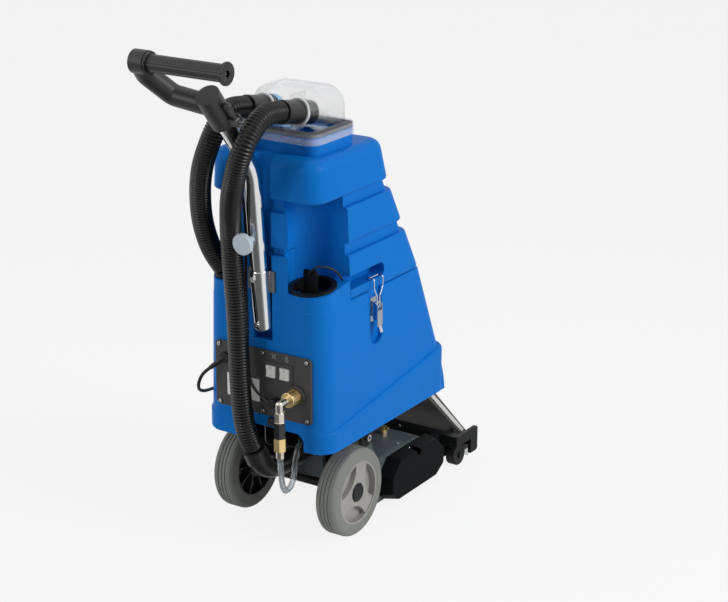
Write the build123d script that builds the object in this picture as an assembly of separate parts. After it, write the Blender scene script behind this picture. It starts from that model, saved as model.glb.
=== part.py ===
from build123d import *
import math
import os

# Carpet extractor. X is the operator's right, Y is forward, Z is up, in millimetres.
# The origin is on the floor, straight under the middle of the wheel axle.

# Clearances shared by every fit
running_gap = 0.05        # radial, between a pin or shaft and its bore
slip_gap = 0.3            # between fixed pieces that sit beside each other
moving_gap = 0.6          # between a moving piece and what it passes
cut_over = 1.0            # how far a cut runs past the face it opens
corner_share = 0.45       # share of a route's shorter run used by the arc at each corner

# Wheels and axle
wheel_diameter = 200.0
tyre_width = 50.0
tyre_depth = 29.0
tyre_shoulder = 11.0
tread_groove_width = 2.6
tread_groove_depth = 1.8
tread_groove_pitch = 9.0
wheel_track = 274.0
hub_web = 5.0
hub_rim_wall = 4.0
hub_boss_wall = 4.0
hub_dish_depth = 2.5
hub_spoke_count = 9
hub_spoke_width = 3.0
hub_pocket_count = 3
hub_pocket_turn = 15.0    # of the first pocket, from forward and upward
hub_pocket_depth = 12.0
hub_pocket_wall = 3.0
hub_pocket_near = 31.0    # from the axle to the pocket's rounded side
hub_pocket_radius = 60.0
axle_diameter = 20.0
axle_cap_diameter = 42.0
axle_collar_diameter = 30.0
axle_cap_length = 9.0
axle_height = wheel_diameter / 2

# Solution tank: the lower moulding with the flared skirt
tank_rear = -120.0
tank_wall = 5.0
tank_corner = 40.0
tank_edge = 6.0
seam_height = 543.0
seam_gap = 1.5
base_half_width = 160.0
seam_half_width = 150.0
front_at_base = 405.0
front_at_seam = 286.0
skirt_bottom = 225.0
skirt_half_width = 164.0
skirt_rear = -119.4
skirt_front = 374.0
skirt_top_rear = 272.0
skirt_top_front = 338.0
skirt_edge = 8.0
arch_left = -62.0
arch_right = 101.0
arch_top = 263.0
arch_corner = 20.0
bay_half_width = 122.0
bay_front = 118.0
bay_top = 448.0

# Pockets at the two rear corners, under the cap of the recovery tank
pocket_x = 92.0
pocket_y = -68.0
pocket_radius = 58.0
pocket_floor = 579.0
pocket_tilt = 8.0
block_front = -10.0
block_step = 0.6
boss_top = 650.0
boss_front = -50.0
boss_half_width = 84.0
channel_half_width = 24.0
channel_depth = 26.0

# Recovery tank: two grooved bands under a cap
cap_bottom = 771.0
cap_top = 862.0
cap_half_width = 141.0
crown_half_width = 135.0
front_at_cap = 172.0
front_at_crown = 150.0
band_half_width = 140.5
crown_radius = 26.0
groove_height = 26.0
groove_depth = 11.0
groove_low = 641.0
groove_high = 745.0
neck_half_width = 108.0
neck_rear = -80.0
neck_front = 76.0
neck_corner = 24.0
neck_top = 900.0
neck_wall = 16.0
grip_slot_bottom = 566.0
grip_slot_top = 596.0
grip_slot_front = 122.0
grip_slot_depth = 34.0
grip_slot_round = 0.45    # corner radius as a share of the slot's height

# Clear lid with its dome, hose ports and gasket
gasket_height = 8.0
gasket_width = 18.0
lid_wall = 3.0
lid_skirt = 26.0
lid_edge = 2.4
dome_half_width = 94.0
dome_rear = -12.0
dome_front = 65.0
dome_corner = 45.0
dome_height = 75.0
dome_round = 16.0
port_x = 44.0
port_y = -45.0
port_z = 943.0
port_tilt = 11.0
port_reach = 36.0
cuff_diameter = 50.0
cuff_inside = 40.0
cuff_outside = 62.0
float_diameter = 44.0
float_height = 46.0
float_slots = 4

# Ribbed vacuum hoses
hose_diameter = 46.0
hose_bore = 36.0
rib_depth = 2.6
rib_pitch = 7.6
rib_slope = 0.2           # share of the pitch taken by each flank
rib_crest = 0.4           # share of the pitch taken by the crest
hose_right_points = [
    (47, -197, 949), (44, -227, 917), (28, -231, 878), (9, -223, 832),
    (-18, -200, 779), (-39, -174, 723), (-47, -162.5, 669), (-44, -161, 613), (-37, -163.5, 554),
    (-32, -166.5, 496), (-29.5, -168, 442), (-28.5, -168, 386), (-27, -166, 332), (-25, -162, 285),
    (-22, -152, 245), (-19, -137, 213)]
hose_left_points = [
    (-49, -176, 953), (-58, -190, 927), (-72, -196, 891), (-93, -191, 848), (-110, -180, 804),
    (-121, -168, 760), (-128, -155, 715), (-130, -138, 670), (-127, -117, 625), (-118, -96, 593)]

# Smooth suction elbow and the pipe under the tank
elbow_diameter = 54.0
pipe_diameter = 48.0
pipe_wall = 3.0
elbow_bend = 52.0
elbow_collar = 34.0
pipe_low = 152.0
pipe_front = 404.0
pipe_rise = 24.0

# Control panel on the rear wall
panel_half_width = 125.0
panel_low = 291.0
panel_high = 439.0
panel_thickness = 5.0
panel_corner = 10.0
screw_x = 114.0
screw_inset = 8.0
screw_diameter = 9.0
screw_head = 2.6
cross_length = 0.6        # cross slot of a screw, as shares of its head
cross_width = 0.16
socket_depth = 0.6        # hexagon socket of a bolt, as shares of its head
socket_size = 0.26
rocker_pitch = 35.0
rocker_x = 25.0
rocker_z = 396.0
rocker_width = 26.0
rocker_height = 30.0
rocker_depth = 12.0
rocker_proud = 2.4
rocker_kick = 7.0
rocker_pin = 3.0
frame_border = 5.0
frame_proud = 3.0
frame_depth = 20.0

# Solution coupling and the clear solution hose
coupler_x = 88.0
coupler_z = 353.0
coupler_seal_diameter = 46.0
coupler_seal_thickness = 5.0
coupler_diameter = 33.0
coupler_length = 30.0
coupler_flutes = 12
coupler_flute_depth = 1.4
stem_diameter = 17.0
stem_length = 28.0
swivel_nut_across = 20.0
swivel_nut_height = 21.0
sleeve_across = 23.0
sleeve_height = 36.0
adapter_across = 24.0
adapter_height = 29.0
ferrule_diameter = 18.0
ferrule_height = 17.0
solution_hose_diameter = 13.0
solution_hose_wall = 2.0
solution_hose_points = [
    (88, -188, 150), (87.6, -143, 150), (86, -131, 206), (84.5, -118, 230), (83.5, -101, 250),
    (83, -88, 274)]

# Mains lead: boot, free run to the floor, put-away coil and plug
lead_diameter = 7.5
boot_x = -97.0
boot_z = 404.0
boot_flange = 22.0
boot_diameter = 14.0
boot_tip_wall = 1.0
mains_points = [
    (-122, -150, 380), (-130, -158, 372.32), (-136.8, -162.5, 361.5), (-144.5, -163, 342),
    (-154, -149, 323),
    (-163, -122, 309), (-170, -93, 301), (-176.5, -62, 295), (-182.5, -32, 287), (-187, -4, 272),
    (-190.5, 20, 250), (-193, 38, 222), (-195, 52, 190), (-196.5, 63, 155), (-197.5, 73, 118),
    (-197.5, 83, 82), (-196, 97, 48), (-192.5, 120, 19)]
coil_entry = 44.0
lead_rest = 0.5
coil_centre_x = -258.0
coil_centre_y = 206.0
coil_inner = 36.0
coil_turns = 4.0
coil_layers = 4
coil_step = 8.2
coil_climb = 8.2
climb_span = 0.5
coil_arc = 0.25           # turns covered by each pair of arcs
coil_samples = 200        # points a turn when its gaps are measured
coil_skip = 4
tail_points = [(-184, 246, 26), (-179, 268, 19), (-178, 289, 14.5), (-178, 310, 14.5)]
plug_width = 44.0
plug_length = 46.0
plug_height = 28.0
plug_pin_width = 6.0
plug_pin_length = 18.0
plug_pin_height = 4.0
plug_pin_spread = 11.0

# Control lead along the tube, and its plug on the panel
control_diameter = 6.0
connector_x = 36.0
connector_z = 329.0
connector_diameter = 20.0
connector_length = 22.0
connector_wall = 1.5
gland_length = 16.0
gland_wall = 2.5
gland_stem = 8.0
control_points = [
    (-25, -212, 926), (-26, -193, 899), (-24.5, -174, 862), (-23, -161, 818), (-22.5, -151, 770),
    (-24, -143, 722), (-28, -137, 676), (-32, -134, 630), (-33.5, -133.5, 580), (-31.5, -134, 530),
    (-29.5, -135, 480), (-30, -136, 432), (-29.5, -137, 394), (-21, -138.5, 364), (-6, -140, 346),
    (12, -141, 336)]

# Handle tube with its sleeve, bolts and cord peg
tube_diameter = 38.0
tube_wall = 2.0
tube_foot = (0.0, -117.0, 487.0)
tube_knee = (0.0, -150.0, 842.0)
tube_tip = (0.0, -280.0, 1005.0)
tube_bend = 110.0
sleeve_diameter = 43.0
sleeve_start = -4.0
sleeve_length = 135.0
saddle_low = 84.0
saddle_height = 46.0
saddle_wall = 4.0
saddle_half = 34.0
saddle_web = 10.0
bolt_diameter = 11.0
bolt_head = 6.0
bolt_low = 14.0
bolt_high = 118.0
peg_along = 206.0
peg_diameter = 46.0
peg_thickness = 12.0
peg_standoff = 24.0
peg_stem = 14.0

# Handle: socket on the tube, offset arm and grip
socket_diameter = 52.0
socket_length = 76.0
socket_top = 6.0
handle_travel = 40.0
arm_diameter = 44.0
arm_start = 48.0
arm_reach = 92.0
arm_outer = 130.0
arm_knee_low = 66.0
arm_knee_high = 122.0
arm_bend_low = 26.4
arm_bend_high = 22.0
grip_rise = 160.0
grip_left = -104.0
grip_right = 88.0
grip_diameter = 36.0
grip_flange_diameter = 47.0
grip_flange = 6.0
grip_core = 16.0
arm_end_length = 34.0
arm_end_diameter = 49.0
grip_screw = 14.0
lug_width = 20.0
lug_height = 40.0
lug_reach = 46.0
lug_up = 14.0
lever_pin = 6.0
lever_length = 42.0
lever_slot = 11.0
lever_thickness = 8.0
lever_ball = 17.0

# Chassis under the tank
rail_x = 96.0
rail_width = 20.0
rail_height = 22.0
rail_rear = -105.0
rail_front = 330.0
pan_thickness = 4.0
pan_margin = 14.0
hose_notch = 34.0
rail_top = skirt_bottom - pan_thickness
cross_bar_width = 24.0
axle_plate = 8.0
axle_plate_width = 60.0
axle_plate_tip = 22.0
pivot_x = 122.0
pivot_y = 95.0
pivot_z = 188.0
pivot_round = 22.0
pivot_plate = 8.0
pivot_bridge = 14.0
lug_round = 16.0
lug_foot = 40.0
pivot_bolt = 10.0
pivot_head = 16.0
pivot_head_height = 7.0

# Brush deck
deck_left = -150.0
deck_right = 130.0
deck_rear = 105.0
deck_front = 376.0
deck_low = 18.0
deck_top = 125.0
deck_sheet = 2.5
deck_rear_low = 38.0
deck_cover_front = 238.0
deck_cover_thickness = 2.0
deck_lug_wall = 6.0
brush_y = 308.0
brush_z = 52.0
brush_diameter = 100.0
brush_core_diameter = 40.0
brush_backing = 3.0
brush_shaft = 15.0
brush_end_gap = 6.0
tuft_rows = 8
tufts_per_row = 52
tuft_width = 2.0
tuft_twist = 70.0
end_plate_thickness = 3.0
end_plate_half_width = 56.0
end_plate_low = 20.0
bearing_diameter = 40.0
bearing_length = 13.0
bearing_flange = 5.0
bearing_ear = 62.0
bearing_bolt = 10.0
bearing_tilt = 30.0
motor_y = 178.0
motor_z = 72.0
motor_diameter = 82.0
motor_length = 190.0
motor_shaft = 12.0
motor_pulley_diameter = 32.0
brush_pulley_diameter = 46.0
pulley_width = 16.0
belt_width = 13.0
belt_thickness = 2.4
belt_gap = 0.4
cover_depth = 35.0
cover_wall = 3.0
cover_rear = 131.0
cover_front = 366.0
cover_low = 16.0
cover_high = 118.0
cover_chamfer = 34.0
cover_chamfer_low = 20.4
cover_chamfer_rear = 27.2
cover_corner = 11.9
cover_edge = 2.7
cover_notch = 18.0
cover_notch_depth = 12.0
cover_notch_corner = 6.0
cover_draft = 6.0
spray_y = 262.0
spray_x = 60.0
spray_diameter = 12.0
spray_height = 18.0
spray_nut_across = 15.0
spray_pipe = 8.0
spray_pipe_up = 14.4
deck_rocker_x = -104.0
deck_rocker_y = 196.0

# Front bar, rollers and vacuum shoe
bar_half_length = 160.0
bar_rear = 414.0
bar_depth = 22.0
bar_low = 60.0
bar_high = 84.0
bar_arm_x = 112.0
bar_arm_width = 16.0
roller_x = 143.0
roller_y = 450.0
roller_diameter = 52.0
roller_width = 24.0
roller_pin = 8.0
cheek_wall = 8.0
cheek_relief = 4.0
hanger_wall = 7.0
hanger_round = 13.0
roller_head = 15.0
roller_head_height = 3.6
cheek_front = 512.0
cheek_low = 28.0
cheek_foot = 34.0
shoe_y = 492.0
shoe_low = 22.0
shoe_mouth_half = 146.0
shoe_mouth_depth = 24.0
shoe_neck_half = 66.0
shoe_neck_depth = 40.0
shoe_neck_y = 404.0
shoe_neck_z = 212.0
shoe_port_gap = 5.0
shoe_sole = 40.0
shoe_wall = 3.0
shoe_pin = 10.0
shoe_pin_z = 42.0
lip_thickness = 4.0
lip_low = 1.5
lip_overlap = 14.0

# Draw latches on both sides
latch_y = 84.0
latch_pivot_z = 512.0
latch_recess_half = 24.0
latch_recess_low = 420.0
latch_recess_depth = 9.0
latch_recess_round = 0.95 # corner radius as a share of the half width
latch_base_low = 470.0
latch_base_high = 524.0
latch_base_half = 11.0
latch_plate = 2.0
latch_lug_gap = 3.0
latch_lug_wall = 2.5
latch_pin = 4.0
latch_pivot_out = 9.0
latch_lever_half = 10.0
latch_lever_wall = 1.6
latch_lever_length = 50.0
latch_lever_face = 7.0
latch_lever_notch = 15.0
latch_tip = 14.0
bail_pin_drop = 8.0
bail_wire = 3.0
bail_foot = 2.4
bail_half = 5.2
bail_wide = 17.0
bail_neck = 530.0
bail_shoulder = 548.0
bail_top = 570.0
bail_hook = 14.0

# Filler basket in the right pocket
filler_rim_diameter = 104.0
filler_hole_diameter = 90.0
filler_rim_height = 4.0
basket_diameter = 86.0
basket_depth = 56.0
basket_wall = 2.5
basket_slots = 12
basket_sectors = 24       # the wall is parted into these
rim_sectors = 12
hole_strips = 6           # the floor round the filler hole is parted into these
basket_slot_width = 9.0
tab_x = 87.0
tab_width = 34.0
tab_height = 37.0
tab_thickness = 4.0
tether_diameter = 4.5
tether_points = [
    (84, -73, 605), (93, -74, 617), (104.5, -73.5, 625.5), (116.5, -66, 628), (127, -54, 623.5),
    (133.5, -41.5, 613.5), (136, -29.5, 600), (134.5, -19, 588.6)]

# Machinery in the bay behind the panel
vac_x = -42.0
vac_y = 22.0
vac_diameter = 138.0
vac_height = 96.0
vac_can_diameter = 92.0
vac_can_height = 66.0
pump_x = 76.0
pump_y = 6.0
pump_diameter = 58.0
pump_length = 112.0
pump_head = 46.0
pump_foot = 8.0

os.makedirs("parts", exist_ok=True)
nodes = {}


def keep(name, shape):
    """Store one named node."""
    nodes[name] = shape


def block(x0, x1, y0, y1, z0, z1):
    """A box between two corners."""
    return Pos((x0 + x1) / 2, (y0 + y1) / 2, (z0 + z1) / 2) * Box(abs(x1 - x0), abs(y1 - y0),
                                                                  abs(z1 - z0))


def rod(start, end, radius):
    """A round bar between two points."""
    a = Vector(*start)
    b = Vector(*end)
    axis = b - a
    return Plane(origin=a, z_dir=axis) * Cylinder(
        radius, axis.length, align=(Align.CENTER, Align.CENTER, Align.MIN))


def tube(start, end, outer, inner):
    """A round tube between two points, given by its two radii."""
    return rod(start, end, outer) - rod(start, end, inner)


def hexagon(start, end, across):
    """A hexagonal bar between two points, by its width across flats."""
    a = Vector(*start)
    axis = Vector(*end) - a
    face = Plane(origin=a, z_dir=axis) * RegularPolygon(across / 2, 6, major_radius=False)
    return extrude(face, axis.length)


def outline(z, half_width, rear, front, corner):
    """A rounded rectangle lying level at one height."""
    return Pos(0, (rear + front) / 2, z) * RectangleRounded(2 * half_width, front - rear, corner)


def turned(points):
    """Radii for a route's corners, as large as the two runs beside each allow, printed."""
    radii = []
    for a, b, c in zip(points, points[1:], points[2:]):
        first = Vector(*b) - Vector(*a)
        second = Vector(*c) - Vector(*b)
        half_turn = math.radians(first.get_angle(second)) / 2
        radii.append(corner_share * min(first.length, second.length) / math.tan(half_turn))
    return radii


def route(points, name):
    """A route of straight runs and arcs, with its radii and length printed."""
    radii = turned(points)
    path = FilletPolyline(*points, radius=radii)
    print(name, "radii", [round(r) for r in radii], "length", round(path.length, 1))
    return path


def cord(points, diameter, name):
    """A plain round cord along a route, its volume compared with section times length."""
    path = route(points, name)
    section = Plane(origin=path @ 0, z_dir=path % 0) * Circle(diameter / 2)
    solid = sweep(section, path)
    print(name, "volume over section times length", solid.volume / (section.area * path.length))
    return solid


# Wheels

def tyre(side):
    """Grey rubber tyre with rounded shoulders and three fine tread grooves."""
    x = side * wheel_track / 2
    outer = wheel_diameter / 2
    inner = outer - tyre_depth
    body = Pos(x, 0, axle_height) * Rot(0, 90, 0) * Cylinder(outer, tyre_width)
    body = fillet(body.edges().filter_by(GeomType.CIRCLE), tyre_shoulder)
    body -= rod((x - tyre_width, 0, axle_height), (x + tyre_width, 0, axle_height), inner)
    for k in (-1, 0, 1):
        cx = x + k * tread_groove_pitch
        a = (cx - tread_groove_width / 2, 0, axle_height)
        b = (cx + tread_groove_width / 2, 0, axle_height)
        body -= tube(a, b, outer + tread_groove_depth, outer - tread_groove_depth)
    return body


def hub_pocket(side, swell, depth):
    """One hollow in the hub's face: the rim's circle cut by a larger one, swollen all round by a wall."""
    face = side * (wheel_track / 2 + tyre_width / 2)
    floor = face - side * depth
    away = hub_pocket_near + hub_pocket_radius
    inside = rod((floor, 0, 0), (face, 0, 0), wheel_diameter / 2 - tyre_depth - hub_rim_wall)
    return inside & rod((floor, away, 0), (face, away, 0), hub_pocket_radius + swell)


def hub(side):
    """Moulded hub: rim, face with three hollows, radial ribs inside and a bored boss that seats the cap."""
    x = side * wheel_track / 2
    rim = wheel_diameter / 2 - tyre_depth
    half = tyre_width / 2
    out_face = x + side * half
    in_face = x - side * half
    body = tube((in_face, 0, axle_height), (out_face, 0, axle_height), rim, rim - hub_rim_wall)
    web_out = out_face - side * hub_dish_depth
    body += rod((web_out - side * hub_web, 0, axle_height), (web_out, 0, axle_height),
                rim - hub_rim_wall / 2)
    seat = axle_cap_diameter / 2 + moving_gap
    body += rod((in_face, 0, axle_height), (web_out, 0, axle_height), seat + hub_boss_wall)
    for k in range(hub_spoke_count):
        spoke = block(in_face + side * hub_rim_wall, web_out, -hub_spoke_width / 2, hub_spoke_width / 2,
                      0, rim - hub_rim_wall / 2)
        body += Pos(0, 0, axle_height) * Rot(360 * k / hub_spoke_count, 0, 0) * spoke
    turns = [Pos(0, 0, axle_height) * Rot(hub_pocket_turn + 360 * k / hub_pocket_count, 0, 0)
             for k in range(hub_pocket_count)]
    cup_depth = hub_dish_depth + hub_pocket_depth
    cup = hub_pocket(side, hub_pocket_wall, cup_depth + hub_pocket_wall)
    cup &= rod((in_face, 0, 0), (web_out, 0, 0), rim)
    for turn in turns:
        body += turn * cup
    for turn in turns:
        body -= turn * hub_pocket(side, 0, cup_depth)
    body -= rod((out_face - side * axle_cap_length, 0, axle_height),
                (out_face + side * cut_over, 0, axle_height), seat)
    bore = axle_diameter / 2 + running_gap
    body -= rod((x - tyre_width, 0, axle_height), (x + tyre_width, 0, axle_height), bore)
    return body


def axle():
    """Axle bar with a push-on cap at each end."""
    reach = wheel_track / 2 + tyre_width / 2 - axle_cap_length + moving_gap
    bar = rod((-reach, 0, axle_height), (reach, 0, axle_height), axle_diameter / 2)
    plate = rail_x - rail_width / 2 + axle_plate
    for side in (-1, 1):
        bar += rod((side * (plate + slip_gap), 0, axle_height),
                   (side * (wheel_track / 2 - tyre_width / 2 - moving_gap), 0, axle_height),
                   axle_collar_diameter / 2)
        cap = rod((side * reach, 0, axle_height), (side * (reach + axle_cap_length), 0, axle_height),
                  axle_cap_diameter / 2)
        cap = fillet(cap.edges().group_by(Axis.X)[-1 if side > 0 else 0], axle_cap_length / 3)
        bar += cap
    return bar


# Tanks

def parted(body, spans):
    """A hollow moulding as simple blocks that meet face to face, those in each of the given boxes."""
    blocks = []
    for span in spans:
        blocks += (body & block(*span)).solids()
    print("blocks", len(blocks), "volume kept", sum(b.volume for b in blocks) / body.volume)
    return Compound(blocks)


def front_line(z):
    """Front of the bands at one height."""
    share = (z - seam_height) / (cap_bottom - seam_height)
    return front_at_seam + share * (front_at_cap - front_at_seam)


def side_line(z):
    """Half width of the bands at one height."""
    share = (z - seam_height) / (cap_bottom - seam_height)
    return seam_half_width + share * (band_half_width - seam_half_width)


def band(z0, z1, inset, soft):
    """A slice of the tapered body between two heights, set in all round and softened at its edges."""
    low = outline(z0, side_line(z0) - inset, tank_rear + inset, front_line(z0) - inset,
                  tank_corner - inset)
    high = outline(z1, side_line(z1) - inset, tank_rear + inset, front_line(z1) - inset,
                   tank_corner - inset)
    body = loft([low, high], ruled=True)
    if soft:
        body = fillet(body.faces().sort_by(Axis.Z)[-1].edges() + body.faces().sort_by(Axis.Z)[0].edges(),
                      soft)
    return body


def pocket(side, low, high, radius):
    """The space of one rear corner pocket between two heights."""
    x = side * pocket_x
    shape = rod((x, pocket_y, low), (x, pocket_y, high), radius)
    return shape + block(x, side * 2 * seam_half_width, 2 * tank_rear, pocket_y + radius, low, high)


def above_floor(lift, side=Align.MIN):
    """Everything above the sloping pocket floor, or below it, lifted by a gap."""
    big = 4 * seam_half_width
    slab = Box(big, big, big, align=(Align.CENTER, Align.CENTER, side))
    return Pos(0, pocket_y, pocket_floor + lift) * Rot(pocket_tilt, 0, 0) * slab


def channel(z0, z1):
    """Groove for the handle tube down the middle of the rear wall."""
    slot = block(-channel_half_width, channel_half_width, 2 * tank_rear, tank_rear + channel_depth, z0,
                 z1)
    edges = slot.edges().filter_by(Axis.Z).group_by(Axis.Y)[-1]
    return fillet(edges, channel_half_width / 2)


def solution_tank():
    """Lower tank: tapered body, skirt, rear block with pocket floors and the boss round the tube."""
    low = outline(skirt_bottom, base_half_width, tank_rear, front_at_base, tank_corner)
    high = outline(seam_height, seam_half_width, tank_rear, front_at_seam, tank_corner)
    main = loft([low, high], ruled=True)
    main = fillet(main.faces().sort_by(Axis.Z)[-1].edges(), tank_edge)
    keep_back = skirt_front - skirt_edge
    main &= block(-skirt_half_width, skirt_half_width, 2 * tank_rear, keep_back, skirt_bottom,
                  seam_height)
    skirt = extrude(outline(skirt_bottom, skirt_half_width, skirt_rear, skirt_front, tank_corner),
                    skirt_top_front - skirt_bottom + skirt_edge)
    slope = math.degrees(math.atan2(skirt_top_front - skirt_top_rear, skirt_front - skirt_rear))
    far = 4 * skirt_front
    skirt -= Pos(0, skirt_rear, skirt_top_rear) * Rot(slope, 0, 0) * Box(
        far, far, far, align=(Align.CENTER, Align.CENTER, Align.MIN))
    skirt = fillet(skirt.faces().sort_by(Axis.Z)[-1].edges(), skirt_edge)
    skirt = fillet(skirt.faces().sort_by(Axis.Z)[0].edges(), skirt_edge / 2)
    body = main + skirt
    rear = band(seam_height - 2 * tank_edge, boss_top, block_step, 0)
    raised = rear & block(-seam_half_width, seam_half_width, 2 * tank_rear, block_front, 0, boss_top)
    raised -= above_floor(0)
    boss = rear & block(-boss_half_width, boss_half_width, 2 * tank_rear, boss_front, 0, boss_top)
    for side in (-1, 1):
        boss -= pocket(side, skirt_bottom, cap_bottom, pocket_radius)
    body += raised
    body += boss
    body -= channel(tube_foot[2] + sleeve_start - sleeve_diameter / 2, cap_top)
    # hollow for water above and before the bay, and the bay itself, open below
    inner_low = outline(skirt_bottom, base_half_width - tank_wall, tank_rear + tank_wall,
                        front_at_base - 2 * tank_wall, tank_corner - tank_wall)
    inner_high = outline(seam_height - tank_wall, seam_half_width - tank_wall, tank_rear + tank_wall,
                         front_at_seam - tank_wall, tank_corner - tank_wall)
    inner = loft([inner_low, inner_high], ruled=True)
    depth = tank_rear + channel_depth + tank_wall
    over = inner & block(-seam_half_width, seam_half_width, depth, skirt_front, bay_top + tank_wall,
                         seam_height)
    ahead = inner & block(-seam_half_width, seam_half_width, bay_front + tank_wall, keep_back - tank_wall,
                          skirt_bottom + tank_wall, seam_height)
    water = over + ahead
    for side in (-1, 1):
        water -= latch_recess(side, tank_wall)
    body -= water
    body -= block(-bay_half_width, bay_half_width, tank_rear + tank_wall, bay_front, skirt_bottom,
                  bay_top)
    # arch between the wheels and the opening that the panel closes
    arch = block(arch_left, arch_right, 2 * tank_rear, tank_rear + 2 * tank_wall, 0, arch_top)
    body -= fillet(arch.edges().filter_by(Axis.Y).group_by(Axis.Z)[-1], arch_corner)
    window = 2 * screw_inset
    body -= block(window - panel_half_width, panel_half_width - window, 2 * tank_rear, 0,
                  panel_low + window, panel_high - window)
    for x, z in panel_screws_at():
        body -= rod((x, 2 * tank_rear, z), (x, tank_rear + tank_wall / 2, z), screw_hole())
    # filler hole through the right pocket floor
    hole = filler_hole_diameter / 2
    body -= rod((pocket_x, pocket_y, bay_top + 2 * tank_wall), (pocket_x, pocket_y, cap_bottom), hole)
    for side in (-1, 1):
        body -= latch_recess(side, 0)
    return parted(body, solution_blocks())


def solution_blocks():
    """Boxes that part the lower tank: walls of bay and water space, their floors and the raised rear."""
    far = 2 * cap_top
    bay = bay_half_width
    wall = bay_front + tank_wall
    sill = panel_low + 2 * screw_inset
    head = panel_high - 2 * screw_inset
    floor = skirt_bottom + tank_wall
    deck = bay_top + tank_wall
    roof = seam_height - tank_wall
    rear = tank_rear + channel_depth + tank_wall
    low_side = seam_half_width - tank_wall
    high_side = latch_wall() - tank_wall
    brim = pocket_floor + (block_front - pocket_y) * math.tan(math.radians(pocket_tilt))
    hole = filler_hole_diameter / 2
    near = pocket_x - hole
    off = pocket_x + hole
    mid = channel_half_width + tank_wall
    strip = filler_hole_diameter / hole_strips
    strips = []
    for k in range(hole_strips):
        x0 = near + k * strip
        strips.append((x0, x0 + strip, -far, pocket_y, roof, brim))
        strips.append((x0, x0 + strip, pocket_y, block_front, roof, brim))
        strips.append((x0, x0 + strip, -far, rear, deck, roof))
    return strips + [
        (-far, -bay, -far, bay_front, 0, bay_top), (bay, far, -far, bay_front, 0, bay_top),
        (-bay, bay, -far, bay_front, 0, arch_top), (-bay, bay, -far, bay_front, arch_top, sill),
        (-bay, bay, -far, bay_front, sill, head), (-bay, bay, -far, bay_front, head, bay_top),
        (-far, far, bay_front, wall, 0, bay_top), (-far, far, wall, far, 0, floor),
        (-far, -low_side, wall, far, floor, deck), (low_side, far, wall, far, floor, deck),
        (-low_side, low_side, wall, far, floor, deck), (-far, far, -far, wall, bay_top, deck),
        (-mid, mid, -far, rear, deck, roof), (-far, -mid, -far, rear, deck, roof),
        (mid, near, -far, rear, deck, roof), (off, far, -far, rear, deck, roof),
        (-far, -high_side, rear, far, deck, roof),
        (high_side, far, rear, far, deck, roof), (-high_side, high_side, rear, far, deck, roof),
        (-far, far, block_front, far, roof, far), (-far, 0, -far, block_front, roof, brim),
        (0, near, -far, block_front, roof, brim), (off, far, -far, block_front, roof, brim),
        (-far, far, -far, block_front, brim, far)]


def latch_recess(side, wall):
    """Shallow recess for one latch, round below, grown by a wall."""
    floor = latch_wall() - wall
    half = latch_recess_half + wall
    shape = block(side * floor, side * 2 * floor, latch_y - half, latch_y + half, latch_recess_low - wall,
                  2 * seam_height)
    return fillet(shape.edges().filter_by(Axis.X).group_by(Axis.Z)[0], half * latch_recess_round)


def latch_wall():
    """Distance from the middle to the flat floor of a latch recess."""
    share = (latch_base_low - skirt_bottom) / (seam_height - skirt_bottom)
    return base_half_width + share * (seam_half_width - base_half_width) - latch_recess_depth


def recovery_tank():
    """Upper tank: bands, cap and neck, hollow, with corner pockets and hand slots."""
    bottom = seam_height + seam_gap
    body = band(bottom, groove_low, 0, tank_edge)
    body += band(groove_low + groove_height, groove_high, 0, tank_edge)
    body += band(bottom + tank_edge, cap_bottom + tank_edge, groove_depth, 0)
    cap_low = outline(groove_high + groove_height, cap_half_width, tank_rear, front_at_cap, tank_corner)
    cap_high = outline(cap_top, crown_half_width, tank_rear, front_at_crown, tank_corner)
    cap = loft([cap_low, cap_high], ruled=True)
    cap = fillet(cap.faces().sort_by(Axis.Z)[-1].edges(), crown_radius)
    cap = fillet(cap.faces().sort_by(Axis.Z)[0].edges(), tank_edge)
    body += cap
    neck = outline(cap_top - crown_radius, neck_half_width, neck_rear, neck_front, neck_corner)
    body += extrude(neck, neck_top - cap_top + crown_radius)
    for side in (-1, 1):
        body -= pocket(side, skirt_bottom, cap_bottom, pocket_radius)
    lower = block(-seam_half_width, seam_half_width, 2 * tank_rear, block_front + slip_gap, 0, cap_top)
    body -= lower - above_floor(slip_gap)
    body -= block(-boss_half_width, boss_half_width, 2 * tank_rear, boss_front + slip_gap, 0,
                  boss_top + seam_gap)
    body -= channel(skirt_bottom, 2 * cap_top)
    # dirty water space with its mouth inside the neck
    inset = groove_depth + tank_wall
    space = band(bottom + tank_wall, groove_high, inset, 0)
    back = pocket_y + pocket_radius + 2 * tank_wall
    space &= block(-seam_half_width, seam_half_width, back, front_at_seam, bottom, cap_top)
    for side in (-1, 1):
        space -= grip_slot(side, tank_wall)
    body -= space
    wide = neck_half_width - neck_wall
    front = neck_front - neck_wall
    body -= block(-wide, wide, neck_rear + neck_wall, front, cap_bottom + 2 * tank_wall, 2 * neck_top)
    body -= block(-wide, wide, back, front, groove_high - tank_wall, 2 * neck_top)
    for side in (-1, 1):
        body -= grip_slot(side, 0)
    return parted(body, recovery_blocks(bottom + tank_wall, back))


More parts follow.
